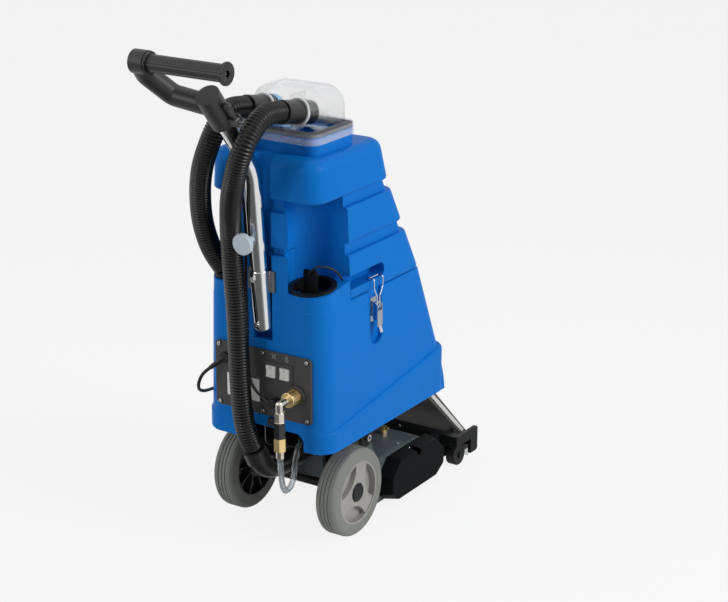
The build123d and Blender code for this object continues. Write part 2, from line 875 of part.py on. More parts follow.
def recovery_blocks(plate, back):
    """Boxes that part the upper tank round its space, mouth and neck, above its floor plate."""
    far = 2 * neck_top
    pit = cap_bottom + 2 * tank_wall
    side = neck_half_width - neck_wall
    front = neck_front - neck_wall
    rear = neck_rear + neck_wall
    inner = side_line(grip_slot_top) - grip_slot_depth - tank_wall
    low = grip_slot_bottom - tank_wall
    high = grip_slot_top + tank_wall
    ledge = boss_top + seam_gap
    top = groove_high
    cuts = [-far] + [pocket_y + k * pocket_radius / 3 for k in (-2, -1, 1, 2)] + [block_front]
    strips = [(-far, far, y0, y1, ledge, cap_bottom) for y0, y1 in zip(cuts, cuts[1:])]
    return strips + [
        (-far, far, -far, block_front, 0, ledge),
        (-far, far, block_front, back, 0, cap_bottom), (-far, far, -far, back, cap_bottom, pit),
        (-far, far, -far, rear, pit, cap_top), (-far, -side, rear, front, pit, cap_top),
        (side, far, rear, front, pit, cap_top), (-far, far, -far, rear, cap_top, far),
        (-far, -side, rear, front, cap_top, far), (side, far, rear, front, cap_top, far),
        (-far, far, front, far, cap_top, far), (-far, far, back, far, 0, plate),
        (-inner, inner, back, far, plate, top), (inner, far, back, far, plate, low),
        (inner, far, back, far, low, high), (inner, far, back, far, high, top),
        (-far, -inner, back, far, plate, low), (-far, -inner, back, far, low, high),
        (-far, -inner, back, far, high, top), (-far, far, front, far, top, cap_top),
        (-far, -side, back, front, top, pit), (side, far, back, front, top, pit)]


def grip_slot(side, wall):
    """Hand slot in one side of the lower band, grown by a wall."""
    x0 = side * (side_line(grip_slot_top) - grip_slot_depth - wall)
    low = grip_slot_bottom - wall
    high = grip_slot_top + wall
    slot = block(x0, side * 2 * seam_half_width, block_front - tank_wall - wall, grip_slot_front + wall,
                 low, high)
    return fillet(slot.edges().filter_by(Axis.X).group_by(Axis.Y)[-1], (high - low) * grip_slot_round)


# Lid

def gasket():
    """Foam gasket on the rim of the neck."""
    ring = extrude(outline(neck_top, neck_half_width, neck_rear, neck_front, neck_corner), gasket_height)
    hole = outline(neck_top, neck_half_width - gasket_width, neck_rear + gasket_width,
                   neck_front - gasket_width,
                   neck_corner - gasket_width / 2)
    return ring - extrude(hole, gasket_height)


def arch_face(y, shrink):
    """Upright arch of the dome, shrunk by a wall."""
    base = neck_top + gasket_height + lid_wall
    half = dome_half_width - shrink
    foot = neck_top + gasket_height
    corner = dome_corner - shrink
    crown = base + dome_height - shrink
    side = crown - corner
    flat = half - corner
    bulge = corner * math.sqrt(0.5)
    lines = [Line((-half, y, foot), (-half, y, side)),
             ThreePointArc((-half, y, side), (-flat - bulge, y, side + bulge), (-flat, y, crown)),
             Line((-flat, y, crown), (flat, y, crown)),
             ThreePointArc((flat, y, crown), (flat + bulge, y, side + bulge), (half, y, side)),
             Line((half, y, side), (half, y, foot)), Line((half, y, foot), (-half, y, foot))]
    return make_face(Curve() + lines)


def port_axis(side, along):
    """A point on the axis of one hose port, measured outwards from its rim."""
    t = math.radians(port_tilt)
    return (side * port_x, port_y - along * math.cos(t), port_z + along * math.sin(t))


def dome_lid():
    """Clear lid: flange with a turned-down skirt, arched dome, divider and two hose ports."""
    base = neck_top + gasket_height
    grow = slip_gap + lid_wall
    rim = outline(base + lid_wall - lid_skirt, neck_half_width + grow, neck_rear - grow,
                  neck_front + grow,
                  neck_corner + grow)
    body = extrude(rim, lid_skirt)
    inside = outline(base - lid_skirt, neck_half_width + slip_gap, neck_rear - slip_gap,
                     neck_front + slip_gap,
                     neck_corner + slip_gap)
    body -= extrude(inside, lid_skirt)
    body = fillet(body.faces().sort_by(Axis.Z)[-1].edges(), lid_edge)
    dome = extrude(arch_face(dome_rear, 0), dome_front - dome_rear, dir=(0, 1, 0))
    dome = fillet(dome.faces().sort_by(Axis.Y)[-1].edges().filter_by(GeomType.CIRCLE), dome_round)
    hollow = extrude(arch_face(dome_rear + lid_wall, lid_wall), dome_front - dome_rear - 2 * lid_wall,
                     dir=(0, 1, 0))
    hollow = fillet(hollow.faces().sort_by(Axis.Y)[-1].edges().filter_by(GeomType.CIRCLE),
                    dome_round - lid_wall)
    body += dome
    outer = cuff_diameter / 2 + slip_gap + lid_wall
    for side in (-1, 1):
        body += rod(port_axis(side, 0), port_axis(side, -port_reach), outer) & block(
            -neck_half_width, neck_half_width, 2 * neck_rear, dome_rear + lid_wall, base, 2 * base)
    body -= hollow
    top = base + dome_height - dome_round
    body += block(-lid_wall / 2, lid_wall / 2, dome_rear, dome_front - dome_round, base, top)
    for side in (-1, 1):
        body -= rod(port_axis(side, lid_wall), port_axis(side, -port_reach - 3 * lid_wall),
                    cuff_diameter / 2 + slip_gap)
    return body


def float_cage():
    """Float valve cage standing on the flange under the dome."""
    x = -dome_half_width / 2
    y = (dome_rear + dome_front) / 2
    z = neck_top + gasket_height - gasket_width
    bar = rod((-neck_half_width + gasket_width + slip_gap, y, z + gasket_width / 3),
              (neck_half_width - gasket_width - slip_gap, y, z + gasket_width / 3), gasket_width / 4)
    cage = tube((x, y, z), (x, y, z + float_height), float_diameter / 2, float_diameter / 2 - lid_wall)
    for k in range(float_slots):
        slot = block(-lid_wall, lid_wall, 0, float_diameter, float_height / 4,
                     float_height - lid_wall * 2)
        cage -= Pos(x, y, z) * Rot(0, 0, 360 * (k + 1 / 2) / float_slots) * slot
    return cage + bar


# Hoses

def hose_route(side, points):
    """Route of a hose that leaves one lid port square to its cuff."""
    return [port_axis(side, cuff_outside), port_axis(side, cuff_outside + hose_diameter)] + points


def ribbed_hose(points, name):
    """A hose with its bore and ribs: four circles a rib, joined by ruled walls."""
    path = route(points, name)
    length = path.length
    ribs = int((length - rib_pitch) / rib_pitch)
    start = (length - ribs * rib_pitch) / 2
    steady = Vector(1, 0, 0)
    crest = hose_diameter / 2
    valley = crest - rib_depth
    stations = [(0, valley)]
    for k in range(ribs):
        s = start + k * rib_pitch
        top = s + rib_slope * rib_pitch
        end = top + rib_crest * rib_pitch
        stations += [(s, valley), (top, crest), (end, crest), (end + rib_slope * rib_pitch, valley)]
    stations.append((length, valley))
    rings = []
    for s, radius in reversed(stations):
        t = s / length
        rings.append(Plane(origin=path @ t, x_dir=steady, z_dir=path % t) * Circle(radius))
    body = loft(rings, ruled=True)
    bore = sweep(Plane(origin=path @ 0, x_dir=steady, z_dir=path % 0) * Circle(hose_bore / 2), path)
    print(name, "ribs", ribs)
    return body - bore


def cuffs():
    """Two smooth cuffs in the lid ports and the inlet collar in the left pocket."""
    pieces = []
    for side in (-1, 1):
        pieces.append(tube(port_axis(side, -cuff_inside), port_axis(side, cuff_outside),
                           cuff_diameter / 2,
                           hose_bore / 2))
    return pieces


def inlet_collar():
    """Collar of the vacuum inlet, standing on the floor of the left pocket."""
    tip = Vector(*hose_left_points[-1])
    before = Vector(*hose_left_points[-2])
    along = (tip - before).normalized()
    end = tip + along * cuff_diameter
    body = rod(tip, end, cuff_diameter / 2)
    body -= above_floor(0, Align.MAX)
    body -= rod(tip, tip + along * (cuff_diameter / 2), hose_bore / 2)
    return body


def suction_pipe():
    """Smooth elbow under the right hose, running on as a pipe to the shoe."""
    tip = Vector(*hose_right_points[-1])
    before = Vector(*hose_right_points[-2])
    along = (tip - before).normalized()
    drop = tip + along * (elbow_bend + hose_diameter / 2)
    corner = (drop.X, drop.Y, pipe_low)
    points = [tuple(tip), corner, (0, -elbow_bend, pipe_low), (0, pipe_front, pipe_low + pipe_rise)]
    path = FilletPolyline(*points, radius=[elbow_bend, elbow_bend])
    outer = sweep(Plane(origin=path @ 0, z_dir=path % 0) * Circle(pipe_diameter / 2), path)
    inner = sweep(Plane(origin=path @ 0, z_dir=path % 0) * Circle(pipe_diameter / 2 - pipe_wall), path)
    collar = rod(tuple(tip), tuple(tip + along * elbow_collar), elbow_diameter / 2)
    return outer + collar - inner


# Control panel

def panel_face():
    """Rear face of the panel."""
    return tank_rear - panel_thickness


def panel_screws_at():
    """Places of the six panel screws."""
    return [(x, z) for x in (-screw_x, 0, screw_x) for z in (panel_low + screw_inset,
                                                             panel_high - screw_inset)]


def screw_hole():
    """Radius of the holes for the panel screws."""
    return screw_diameter / 4 + running_gap


def rocker_places():
    """Middles of the two switch rockers."""
    return [rocker_x, rocker_x + rocker_pitch]


def control_panel():
    """Black moulded panel with its switch opening, coupling bezel and lead hole."""
    z = (panel_low + panel_high) / 2
    plate = Pos(0, tank_rear, z) * Rot(90, 0, 0) * RectangleRounded(
        2 * panel_half_width, panel_high - panel_low, panel_corner)
    body = extrude(plate, panel_thickness, dir=(0, -1, 0))
    body = fillet(body.faces().sort_by(Axis.Y)[0].edges(), screw_head / 2)
    x0, x1, z0, z1 = frame_box()
    lip = frame_border - slip_gap
    body -= block(x0 + lip, x1 - lip, 2 * tank_rear, 0, z0 + lip, z1 - lip)
    face = panel_face()
    body += tube((coupler_x, face, coupler_z), (coupler_x, face - coupler_seal_thickness, coupler_z),
                 coupler_seal_diameter / 2, coupler_diameter / 2)
    for x, z in panel_screws_at():
        body -= rod((x, 2 * tank_rear, z), (x, 0, z), screw_hole())
    for x, z, d in ((coupler_x, coupler_z, stem_diameter), (boot_x, boot_z, boot_diameter),
                    (connector_x, connector_z, connector_diameter / 2)):
        body -= rod((x, 2 * tank_rear, z), (x, 0, z), d / 2)
    return body


def frame_box():
    """Left, right, low and high edges of the double switch frame."""
    reach = rocker_width / 2 + moving_gap + frame_border
    rise = rocker_height / 2 + moving_gap + frame_border
    return (rocker_x - reach, rocker_x + rocker_pitch + reach, rocker_z - rise, rocker_z + rise)


def switch_frame():
    """Double frame round both rockers, with its wells and pin holes."""
    x0, x1, z0, z1 = frame_box()
    face = panel_face()
    body = block(x0, x1, face - frame_proud, face, z0, z1)
    body = fillet(body.faces().sort_by(Axis.Y)[0].edges(), frame_proud / 3)
    body += block(x0 + frame_border, x1 - frame_border, face, face + frame_depth, z0 + frame_border,
                  z1 - frame_border)
    wall = frame_border / 3
    for x in rocker_places():
        half = rocker_width / 2 + moving_gap
        rise = rocker_height / 2 + moving_gap - wall
        body -= block(x - half + wall, x + half - wall, 2 * tank_rear, face + frame_depth - wall,
                      rocker_z - rise,
                      rocker_z + rise)
        pin = rocker_pin / 2 + running_gap
        body -= rod((x - half - wall / 2, pin_y(), rocker_z), (x + half + wall / 2, pin_y(), rocker_z),
                    pin)
    return body


def pin_y():
    """Depth of the rocker pins."""
    return panel_face() + rocker_depth / 4


def rocker(x):
    """White rocker with two sloping pads, turning on a pin."""
    wall = frame_border / 3
    half = rocker_width / 2 - wall
    rise = rocker_height / 2 - wall - moving_gap
    face = panel_face() - frame_proud
    kick = rise * math.tan(math.radians(rocker_kick))
    back = pin_y() + rocker_depth / 2
    points = [(face - rocker_proud, rocker_z), (face - rocker_proud - kick, rocker_z + rise),
              (pin_y(), rocker_z + rise), (back, rocker_z), (pin_y(), rocker_z - rise),
              (face - rocker_proud - kick, rocker_z - rise)]
    side = make_face(Polyline(*[(x - half, y, z) for y, z in points], close=True))
    body = extrude(side, 2 * half, dir=(1, 0, 0))
    reach = rocker_width / 2 + moving_gap
    return body + rod((x - reach, pin_y(), rocker_z), (x + reach, pin_y(), rocker_z), rocker_pin / 2)


def screw(point, toward, head, height, shank, reach):
    """A round-headed screw with a cross slot, its head standing on a point."""
    a = Vector(*point)
    n = Vector(*toward).normalized()
    body = rod(a, a + n * height, head / 2)
    body = fillet(body.edges().filter_by(GeomType.CIRCLE).sort_by(lambda e: (e.center() - a).dot(n))[-1],
                  height / 3)
    plane = Plane(origin=a + n * (height / 2), z_dir=n)
    body -= extrude(plane * Rectangle(head * cross_length, head * cross_width), height)
    body -= extrude(plane * Rectangle(head * cross_width, head * cross_length), height)
    return body + rod(a - n * reach, a, shank / 2)


def socket_bolt(point, toward, head, height, shank, reach):
    """A cap bolt with a hexagon socket."""
    a = Vector(*point)
    n = Vector(*toward).normalized()
    body = rod(a, a + n * height, head / 2)
    well = Plane(origin=a + n * (height * (1 - socket_depth)),
                 z_dir=n) * RegularPolygon(head * socket_size, 6)
    body -= extrude(well, height)
    return body + rod(a - n * reach, a, shank / 2)


# Solution fittings

def elbow_y():
    """Rear end of the coupling, where the swivel elbow turns down."""
    return panel_face() - coupler_seal_thickness - coupler_length - stem_length


def stack():
    """Heights of the fittings below the elbow, from the top down."""
    nut_top = coupler_z - stem_diameter
    nut_low = nut_top - swivel_nut_height
    sleeve_low = nut_low - sleeve_height
    adapter_low = sleeve_low - adapter_height
    return nut_top, nut_low, sleeve_low, adapter_low, adapter_low - ferrule_height


def brass_fittings():
    """Fluted brass coupling on the panel and the hexagonal brass adapter of the hose."""
    face = panel_face() - coupler_seal_thickness
    rear = face - coupler_length
    body = rod((coupler_x, face, coupler_z), (coupler_x, rear, coupler_z), coupler_diameter / 2)
    body = fillet(body.edges().filter_by(GeomType.CIRCLE), coupler_flute_depth)
    for k in range(coupler_flutes):
        a = 2 * math.pi * k / coupler_flutes
        x = coupler_x + coupler_diameter / 2 * math.cos(a)
        z = coupler_z + coupler_diameter / 2 * math.sin(a)
        body -= rod((x, face - coupler_length / 5, z), (x, rear + coupler_length / 5, z),
                    coupler_flute_depth)
    body += rod((coupler_x, face + coupler_seal_thickness + panel_thickness + tank_wall, coupler_z),
                (coupler_x, face, coupler_z), stem_diameter / 2 - slip_gap)
    sleeve_low, adapter_low = stack()[2:4]
    y = elbow_y()
    bore = solution_hose_diameter / 2 - solution_hose_wall
    adapter = hexagon((coupler_x, y, adapter_low), (coupler_x, y, sleeve_low), adapter_across)
    adapter -= rod((coupler_x, y, adapter_low), (coupler_x, y, sleeve_low), bore)
    return Compound([body, adapter])


def nickel_fittings():
    """Swivel elbow with its nut, the dark sleeve nut below it and the chromed hose ferrule."""
    y = elbow_y()
    start = (coupler_x, panel_face() - coupler_seal_thickness - coupler_length, coupler_z)
    body = rod(start, (coupler_x, y, coupler_z), stem_diameter / 2)
    body += Pos(coupler_x, y, coupler_z) * Sphere(stem_diameter / 2)
    top, nut_low, sleeve_low, adapter_low, foot = stack()
    body += rod((coupler_x, y, coupler_z), (coupler_x, y, top), stem_diameter / 2)
    body += hexagon((coupler_x, y, nut_low), (coupler_x, y, top), swivel_nut_across)
    sleeve = hexagon((coupler_x, y, sleeve_low), (coupler_x, y, nut_low), sleeve_across)
    hose = solution_hose_diameter / 2
    ferrule = tube((coupler_x, y, foot), (coupler_x, y, adapter_low), ferrule_diameter / 2,
                   hose + running_gap)
    return Compound([body, sleeve, ferrule])


def solution_hose():
    """Clear hose from the ferrule round a tight turn and up under the tank."""
    top = (coupler_x, elbow_y(), stack()[3])
    points = [top] + solution_hose_points
    path = route(points, "solution_hose")
    plane = Plane(origin=path @ 0, z_dir=path % 0)
    outer = sweep(plane * Circle(solution_hose_diameter / 2), path)
    return outer - sweep(plane * Circle(solution_hose_diameter / 2 - solution_hose_wall), path)


# Leads

def boot_axis():
    """Start and direction of the strain relief boot."""
    start = Vector(boot_x, panel_face(), boot_z)
    return start, (Vector(*mains_points[0]) - start).normalized()


def cable_boots():
    """Tapered boot of the mains lead, plug of the control lead and its gland on the handle tube."""
    start, along = boot_axis()
    tip = Vector(*mains_points[0])
    flange = rod((boot_x, panel_face(), boot_z), (boot_x, panel_face() - lead_diameter, boot_z),
                 boot_flange / 2)
    wide = Plane(origin=start + along * lead_diameter / 2, z_dir=along) * Circle(boot_diameter / 2)
    narrow = Plane(origin=tip, z_dir=along) * Circle(lead_diameter / 2 + boot_tip_wall)
    behind = block(-panel_half_width, panel_half_width, panel_face(), 0, panel_low, panel_high)
    boot = flange + loft([wide, narrow], ruled=True) - behind
    end = Vector(*control_points[-1])
    before = Vector(*control_points[-2])
    out = (end - before).normalized()
    base = rod((connector_x, panel_face(), connector_z),
               (connector_x, panel_face() - connector_length, connector_z),
               connector_diameter / 2)
    base = fillet(base.edges().filter_by(GeomType.CIRCLE).sort_by(Axis.Y)[0], connector_diameter / 6)
    base += rod(end, end + out * connector_length, control_diameter / 2 + connector_wall)
    return Compound([boot, base - behind, tube_gland()])


def tube_gland():
    """Gland on the left of the handle tube where the control lead goes in."""
    start = Vector(*control_points[0])
    out = (start - Vector(*control_points[1])).normalized()
    body = rod(start, start + out * gland_length, control_diameter / 2 + gland_wall)
    middle = start + out * (gland_length / 2)
    body += rod(middle, (0, middle.Y, middle.Z), gland_stem / 2)
    path = tube_path()
    return body - sweep(Plane(origin=path @ 0, z_dir=path % 0) * Circle(tube_diameter / 2), path)


def mains_route():
    """Route of the free mains lead, ending square on the coil."""
    start = coil_point(0) - coil_heading(0) * lead_diameter
    return mains_points + [tuple(start - coil_heading(0) * coil_entry), tuple(start)]


def biarcs(points, tangents):
    """Pairs of arcs through points with given directions, as a list of edges."""
    edges = []
    for p, t, q, u in zip(points, tangents, points[1:], tangents[1:]):
        v = q - p
        both = t + u
        k = 2 * (1 - t.dot(u))
        b = v.dot(both)
        d = (-b + math.sqrt(b * b + k * v.dot(v))) / k
        middle = (p + q + (t - u) * d) / 2
        edges.append(ThreePointArc(p, arc_top(p, middle, t), middle))
        edges.append(ThreePointArc(middle, arc_top(q, middle, u * -1), q))
    return edges


def arc_top(start, end, heading):
    """Middle point of the arc that leaves one point in a given direction and ends at another."""
    chord = end - start
    aside = heading - chord * (heading.dot(chord) / chord.dot(chord))
    turn = math.radians(heading.get_angle(chord))
    return start + chord / 2 + aside.normalized() * (chord.length / 2 * math.tan(turn / 2))


def coil_point(turn):
    """A point of the coil's centre line: winding in and out again, a layer higher each time."""
    layer = round(turn / coil_turns)
    inward = abs(turn / coil_turns - 2 * round(turn / coil_turns / 2)) * coil_turns
    climbed = min(max(1 / 2 + (turn - layer * coil_turns) / climb_span, 0),
                  1) if 0 < layer < coil_layers else 1
    level = layer - 1 + climbed * climbed * (3 - 2 * climbed)
    if layer == 0:
        level = 0
    if layer == coil_layers:
        level = coil_layers - 1
    radius = coil_inner + coil_step * (coil_turns - inward)
    angle = 2 * math.pi * turn
    z = lead_diameter / 2 + lead_rest + level * coil_climb
    return Vector(coil_centre_x + radius * math.cos(angle), coil_centre_y + radius * math.sin(angle), z)


def coil_heading(turn):
    """Direction of the coil's centre line."""
    total = coil_turns * coil_layers
    small = 1 / (2 * coil_samples)
    return (coil_point(min(turn + small, total)) - coil_point(max(turn - small, 0))).normalized()


def mains_coil():
    """The put-away length of the mains lead, wound in layers of turns, with its end run to the plug."""
    total = coil_turns * coil_layers
    turns = [k * coil_arc for k in range(int(total / coil_arc) + 1)]
    points = [coil_point(t) for t in turns]
    headings = [coil_heading(t) for t in turns]
    edges = biarcs(points, headings)
    start = points[0] - headings[0] * lead_diameter
    tail = [tuple(points[-1]), tuple(points[-1] + headings[-1] * 2 * lead_diameter)] + tail_points
    end = FilletPolyline(*tail, radius=turned(tail))
    path = Wire([Line(start, points[0])] + edges + list(end.edges()))
    solid = sweep(Plane(origin=start, z_dir=headings[0]) * Circle(lead_diameter / 2), path)
    every = coil_skip
    fine = [coil_point(k / coil_samples) for k in range(int(total * coil_samples) + 1)]
    least = min((a - b).length for i, a in enumerate(fine[::every])
                for b in fine[every * i + coil_samples // 2::every])
    print("mains_coil length", round(path.length), "least gap to itself", round(least - lead_diameter, 2))
    print("mains_coil volume over section times length",
          solid.volume / (math.pi * lead_diameter ** 2 / 4 * path.length))
    return solid


def mains_plug():
    """Moulded mains plug lying flat beside the coil, with a short neck and three pins."""
    tip = Vector(*tail_points[-1])
    y0 = tip.Y
    z1 = tip.Z + plug_height / 2
    z0 = tip.Z - plug_height / 2
    neck = plug_length / 4
    body = block(tip.X - plug_width / 2, tip.X + plug_width / 2, y0 + neck, y0 + plug_length, z0, z1)
    body = fillet(body.edges(), plug_height / 5)
    body += rod((tip.X, y0, tip.Z), (tip.X, y0 + plug_length / 2, tip.Z), lead_diameter)
    front = y0 + plug_length
    for x, turn in ((-plug_pin_spread, 0), (0, 1), (plug_pin_spread, 0)):
        wide = plug_pin_height if turn else plug_pin_width
        tall = plug_pin_width if turn else plug_pin_height
        body += block(tip.X + x - wide / 2, tip.X + x + wide / 2, front - neck / 2,
                      front + plug_pin_length,
                      tip.Z - tall / 2, tip.Z + tall / 2)
    return body


# Handle

def tube_path():
    """Centre line of the bent handle tube."""
    return FilletPolyline(tube_foot, tube_knee, tube_tip, radius=tube_bend)


def lower_axis():
    """Direction of the lower, nearly upright part of the tube."""
    return (Vector(*tube_knee) - Vector(*tube_foot)).normalized()


def upper_axis():
    """Direction of the upper part of the tube, leaning to the operator."""
    return (Vector(*tube_tip) - Vector(*tube_knee)).normalized()


def on_tube(along):
    """A point on the lower axis, measured up from the foot."""
    return Vector(*tube_foot) + lower_axis() * along


def handle_tube():
    """Chromed handle tube."""
    path = tube_path()
    plane = Plane(origin=path @ 0, z_dir=path % 0)
    outer = sweep(plane * Circle(tube_diameter / 2), path)
    return outer - sweep(plane * Circle(tube_diameter / 2 - tube_wall), path)


def rearward():
    """Direction square to the lower tube, pointing to the rear."""
    up = lower_axis()
    return Vector(0, -up.Z, up.Y).normalized()


def tube_sleeve():
    """Sleeve round the tube's foot with a closed end, ears on the rear wall and a web in the channel."""
    a = on_tube(sleeve_start)
    b = on_tube(sleeve_start + sleeve_length)
    body = rod(a, b, sleeve_diameter / 2)
    body = fillet(body.edges().filter_by(GeomType.CIRCLE).sort_by(Axis.Z)[0], sleeve_diameter / 5)
    low = on_tube(saddle_low).Z
    high = low + saddle_height
    body += block(-saddle_half, saddle_half, tank_rear - saddle_wall, tank_rear + block_step, low, high)
    web = saddle_web / 2
    body += block(-web, web, on_tube(0).Y, tank_rear + channel_depth, a.Z + sleeve_diameter / 2, high)
    for along in (bolt_low, bolt_high):
        body -= rod(on_tube(along), on_tube(along) + rearward() * sleeve_diameter,
                    bolt_diameter / 4 + running_gap)
    return body - rod(Vector(*tube_foot), b + lower_axis() * sleeve_length, tube_diameter / 2)


def cord_peg():
    """Round peg on the rear of the tube that the lead is hung on."""
    n = rearward()
    a = on_tube(peg_along) + n * (tube_diameter / 2)
    b = a + n * peg_standoff
    disc = rod(b, b + n * peg_thickness, peg_diameter / 2)
    disc = fillet(disc.edges().filter_by(GeomType.CIRCLE), peg_thickness / 6)
    stem = rod(a - n * tube_wall, b, peg_stem / 2)
    path = tube_path()
    plane = Plane(origin=path @ 0, z_dir=path % 0)
    return disc + stem - sweep(plane * Circle(tube_diameter / 2), path)


def arm_plane(x, s):
    """A point in the plane of the handle: sideways and along the upper tube from the socket's foot."""
    foot = Vector(*tube_tip) - upper_axis() * (socket_length - arm_start / 4)
    p = foot + upper_axis() * s
    return (x, p.Y, p.Z)


def handle_arm():
    """Socket, clamp lugs, curved offset arm and the boss that carries the grip."""
    cap = arm_start / 4
    body = rod(arm_plane(0, 0), arm_plane(0, socket_length + socket_top), socket_diameter / 2)
    points = [arm_plane(0, arm_start), arm_plane(-arm_reach, arm_knee_low),
              arm_plane(-arm_outer, arm_knee_high),
              arm_plane(grip_left - arm_diameter / 2, grip_rise)]
    path = FilletPolyline(*points, radius=[arm_bend_low, arm_bend_high])
    body += sweep(Plane(origin=path @ 0, z_dir=path % 0) * Circle(arm_diameter / 2), path)
    inner = grip_left
    body -= rod(arm_plane(inner, grip_rise), arm_plane(0, grip_rise), grip_flange_diameter / 2 + slip_gap)
    body += rod(arm_plane(inner - arm_end_length, grip_rise), arm_plane(inner, grip_rise),
                arm_end_diameter / 2)
    body += rod(arm_plane(inner, grip_rise), arm_plane(grip_right - grip_flange, grip_rise),
                grip_core / 2)
    body += lug_block()
    body -= rod(arm_plane(0, -handle_travel), arm_plane(0, socket_length - cap + slip_gap),
                tube_diameter / 2 + slip_gap)
    body -= lever_window()
    pin = lever_axis()
    body -= rod(pin[0], pin[1], lever_pin / 2 + running_gap)
    return body


def clamp_plane():
    """Frame of the clamp: its Z runs up the tube and its X to the operator's right."""
    return Plane(origin=arm_plane(0, 0), x_dir=(1, 0, 0), z_dir=upper_axis())


def lug_block():
    """Block on the right of the socket that holds the clamp lever."""
    x0 = socket_diameter / 2 - lug_width / 4
    shape = Pos((x0 + lug_reach) / 2, 0, lug_up) * Box(lug_reach - x0, lug_width, lug_height / 2)
    return clamp_plane() * fillet(shape.edges().filter_by(Axis.Y), lug_width / 5)


def lever_window():
    """Slot through the lug for the clamp lever."""
    x0 = socket_diameter / 2 + moving_gap
    return clamp_plane() * (Pos((x0 + lug_reach * 2) / 2, 0, lug_up) * Box(
        lug_reach * 2 - x0, lever_slot, lug_height))


def lever_axis():
    """Both ends of the clamp lever's pin."""
    plane = clamp_plane()
    x = (socket_diameter / 2 + lug_reach) / 2
    return [plane.from_local_coords(Vector(x, y, lug_up)) for y in (-lug_width, lug_width)]


def clamp_lever():
    """Cam lever of the clamp with a ball end and its pin."""
    plane = clamp_plane()
    x = (socket_diameter / 2 + lug_reach) / 2
    eye = (lug_reach - socket_diameter / 2) / 2 - 2 * moving_gap
    width = lever_slot - 2 * moving_gap
    body = Pos(x, 0, lug_up) * Rot(90, 0, 0) * Cylinder(eye, width)
    body += Pos(x, 0, lug_up + lever_length / 2) * Box(lever_thickness, width, lever_length)
    body += Pos(x, 0, lug_up + lever_length) * Sphere(lever_ball / 2)
    body += Pos(x, 0, lug_up) * Rot(90, 0, 0) * Cylinder(lever_pin / 2, lug_width)
    return plane * body


def handle_grip():
    """Grip sleeve with a flange at each end and a recessed screw on its outer end."""
    a = arm_plane(grip_left, grip_rise)
    b = arm_plane(grip_right, grip_rise)
    body = rod(a, b, grip_diameter / 2)
    for end in (a, b):
        side = 1 if end[0] < 0 else -1
        other = (end[0] + side * grip_flange, end[1], end[2])
        flange = rod(end, other, grip_flange_diameter / 2)
        body += fillet(flange.edges().filter_by(GeomType.CIRCLE), grip_flange / 3)
    core_end = arm_plane(grip_right - grip_flange, grip_rise)
    body -= rod(a, core_end, grip_core / 2 + slip_gap / 2)
    body -= rod(core_end, b, grip_screw / 2)
    return body


# Chassis

def chassis_frame():
    """Black steel frame: rails, pan, axle plates and the arms that hold the brush deck."""
    low = rail_top - rail_height
    wide = bay_half_width + pan_margin
    body = block(-wide, wide, rail_rear, bay_front + pan_margin, rail_top, rail_top + pan_thickness)
    notch = hose_notch / 2
    body -= block(coupler_x - notch, coupler_x + notch, rail_rear, rail_rear + hose_notch, 0,
                  2 * rail_top)
    for side in (-1, 1):
        x0 = side * (rail_x - rail_width / 2)
        x1 = side * (rail_x + rail_width / 2)
        body += block(x0, x1, rail_rear + hose_notch, rail_front, low, rail_top)
        plate = make_face(Polyline(
            (x0, -axle_plate_width / 2, rail_top), (x0, axle_plate_width / 2, rail_top),
            (x0, axle_plate_tip, axle_height), (x0, -axle_plate_tip, axle_height), close=True))
        body += extrude(plate, axle_plate, dir=(side, 0, 0))
        body += rod((x0, 0, axle_height), (x0 + side * axle_plate, 0, axle_height), axle_plate_tip)
        px = side * pivot_x
        inner = px - side * pivot_plate
        rear = pivot_y - pivot_round
        front = pivot_y + pivot_round
        body += rod((px, pivot_y, pivot_z), (inner, pivot_y, pivot_z), pivot_round)
        body += block(px, inner, rear, front, pivot_z, rail_top)
        body += block(x1, px, rear, front, rail_top - pivot_bridge, rail_top)
        body -= rod((px + side, pivot_y, pivot_z), (inner - side, pivot_y, pivot_z),
                    pivot_bolt / 2 + running_gap)
    for y in (rail_rear + hose_notch, rail_front - cross_bar_width):
        body += block(-rail_x, rail_x, y, y + cross_bar_width, rail_top - cross_bar_width / 2, rail_top)
    return body - rod((-wheel_track, 0, axle_height), (wheel_track, 0, axle_height),
                      axle_diameter / 2 + running_gap)


# Brush deck

def deck_profile(x, inset):
    """Side shape of the deck: straight back and top, round front."""
    y0 = deck_rear + inset
    z1 = deck_top - inset
    radius = deck_top - deck_low - inset
    front = deck_front - inset
    bend = front - radius
    mid = radius * math.sqrt(0.5)
    lines = [Line((x, y0, deck_low), (x, y0, z1)), Line((x, y0, z1), (x, bend, z1)),
             ThreePointArc((x, bend, z1), (x, bend + mid, deck_low + mid), (x, front, deck_low)),
             Line((x, front, deck_low), (x, y0, deck_low))]
    return make_face(Curve() + lines)


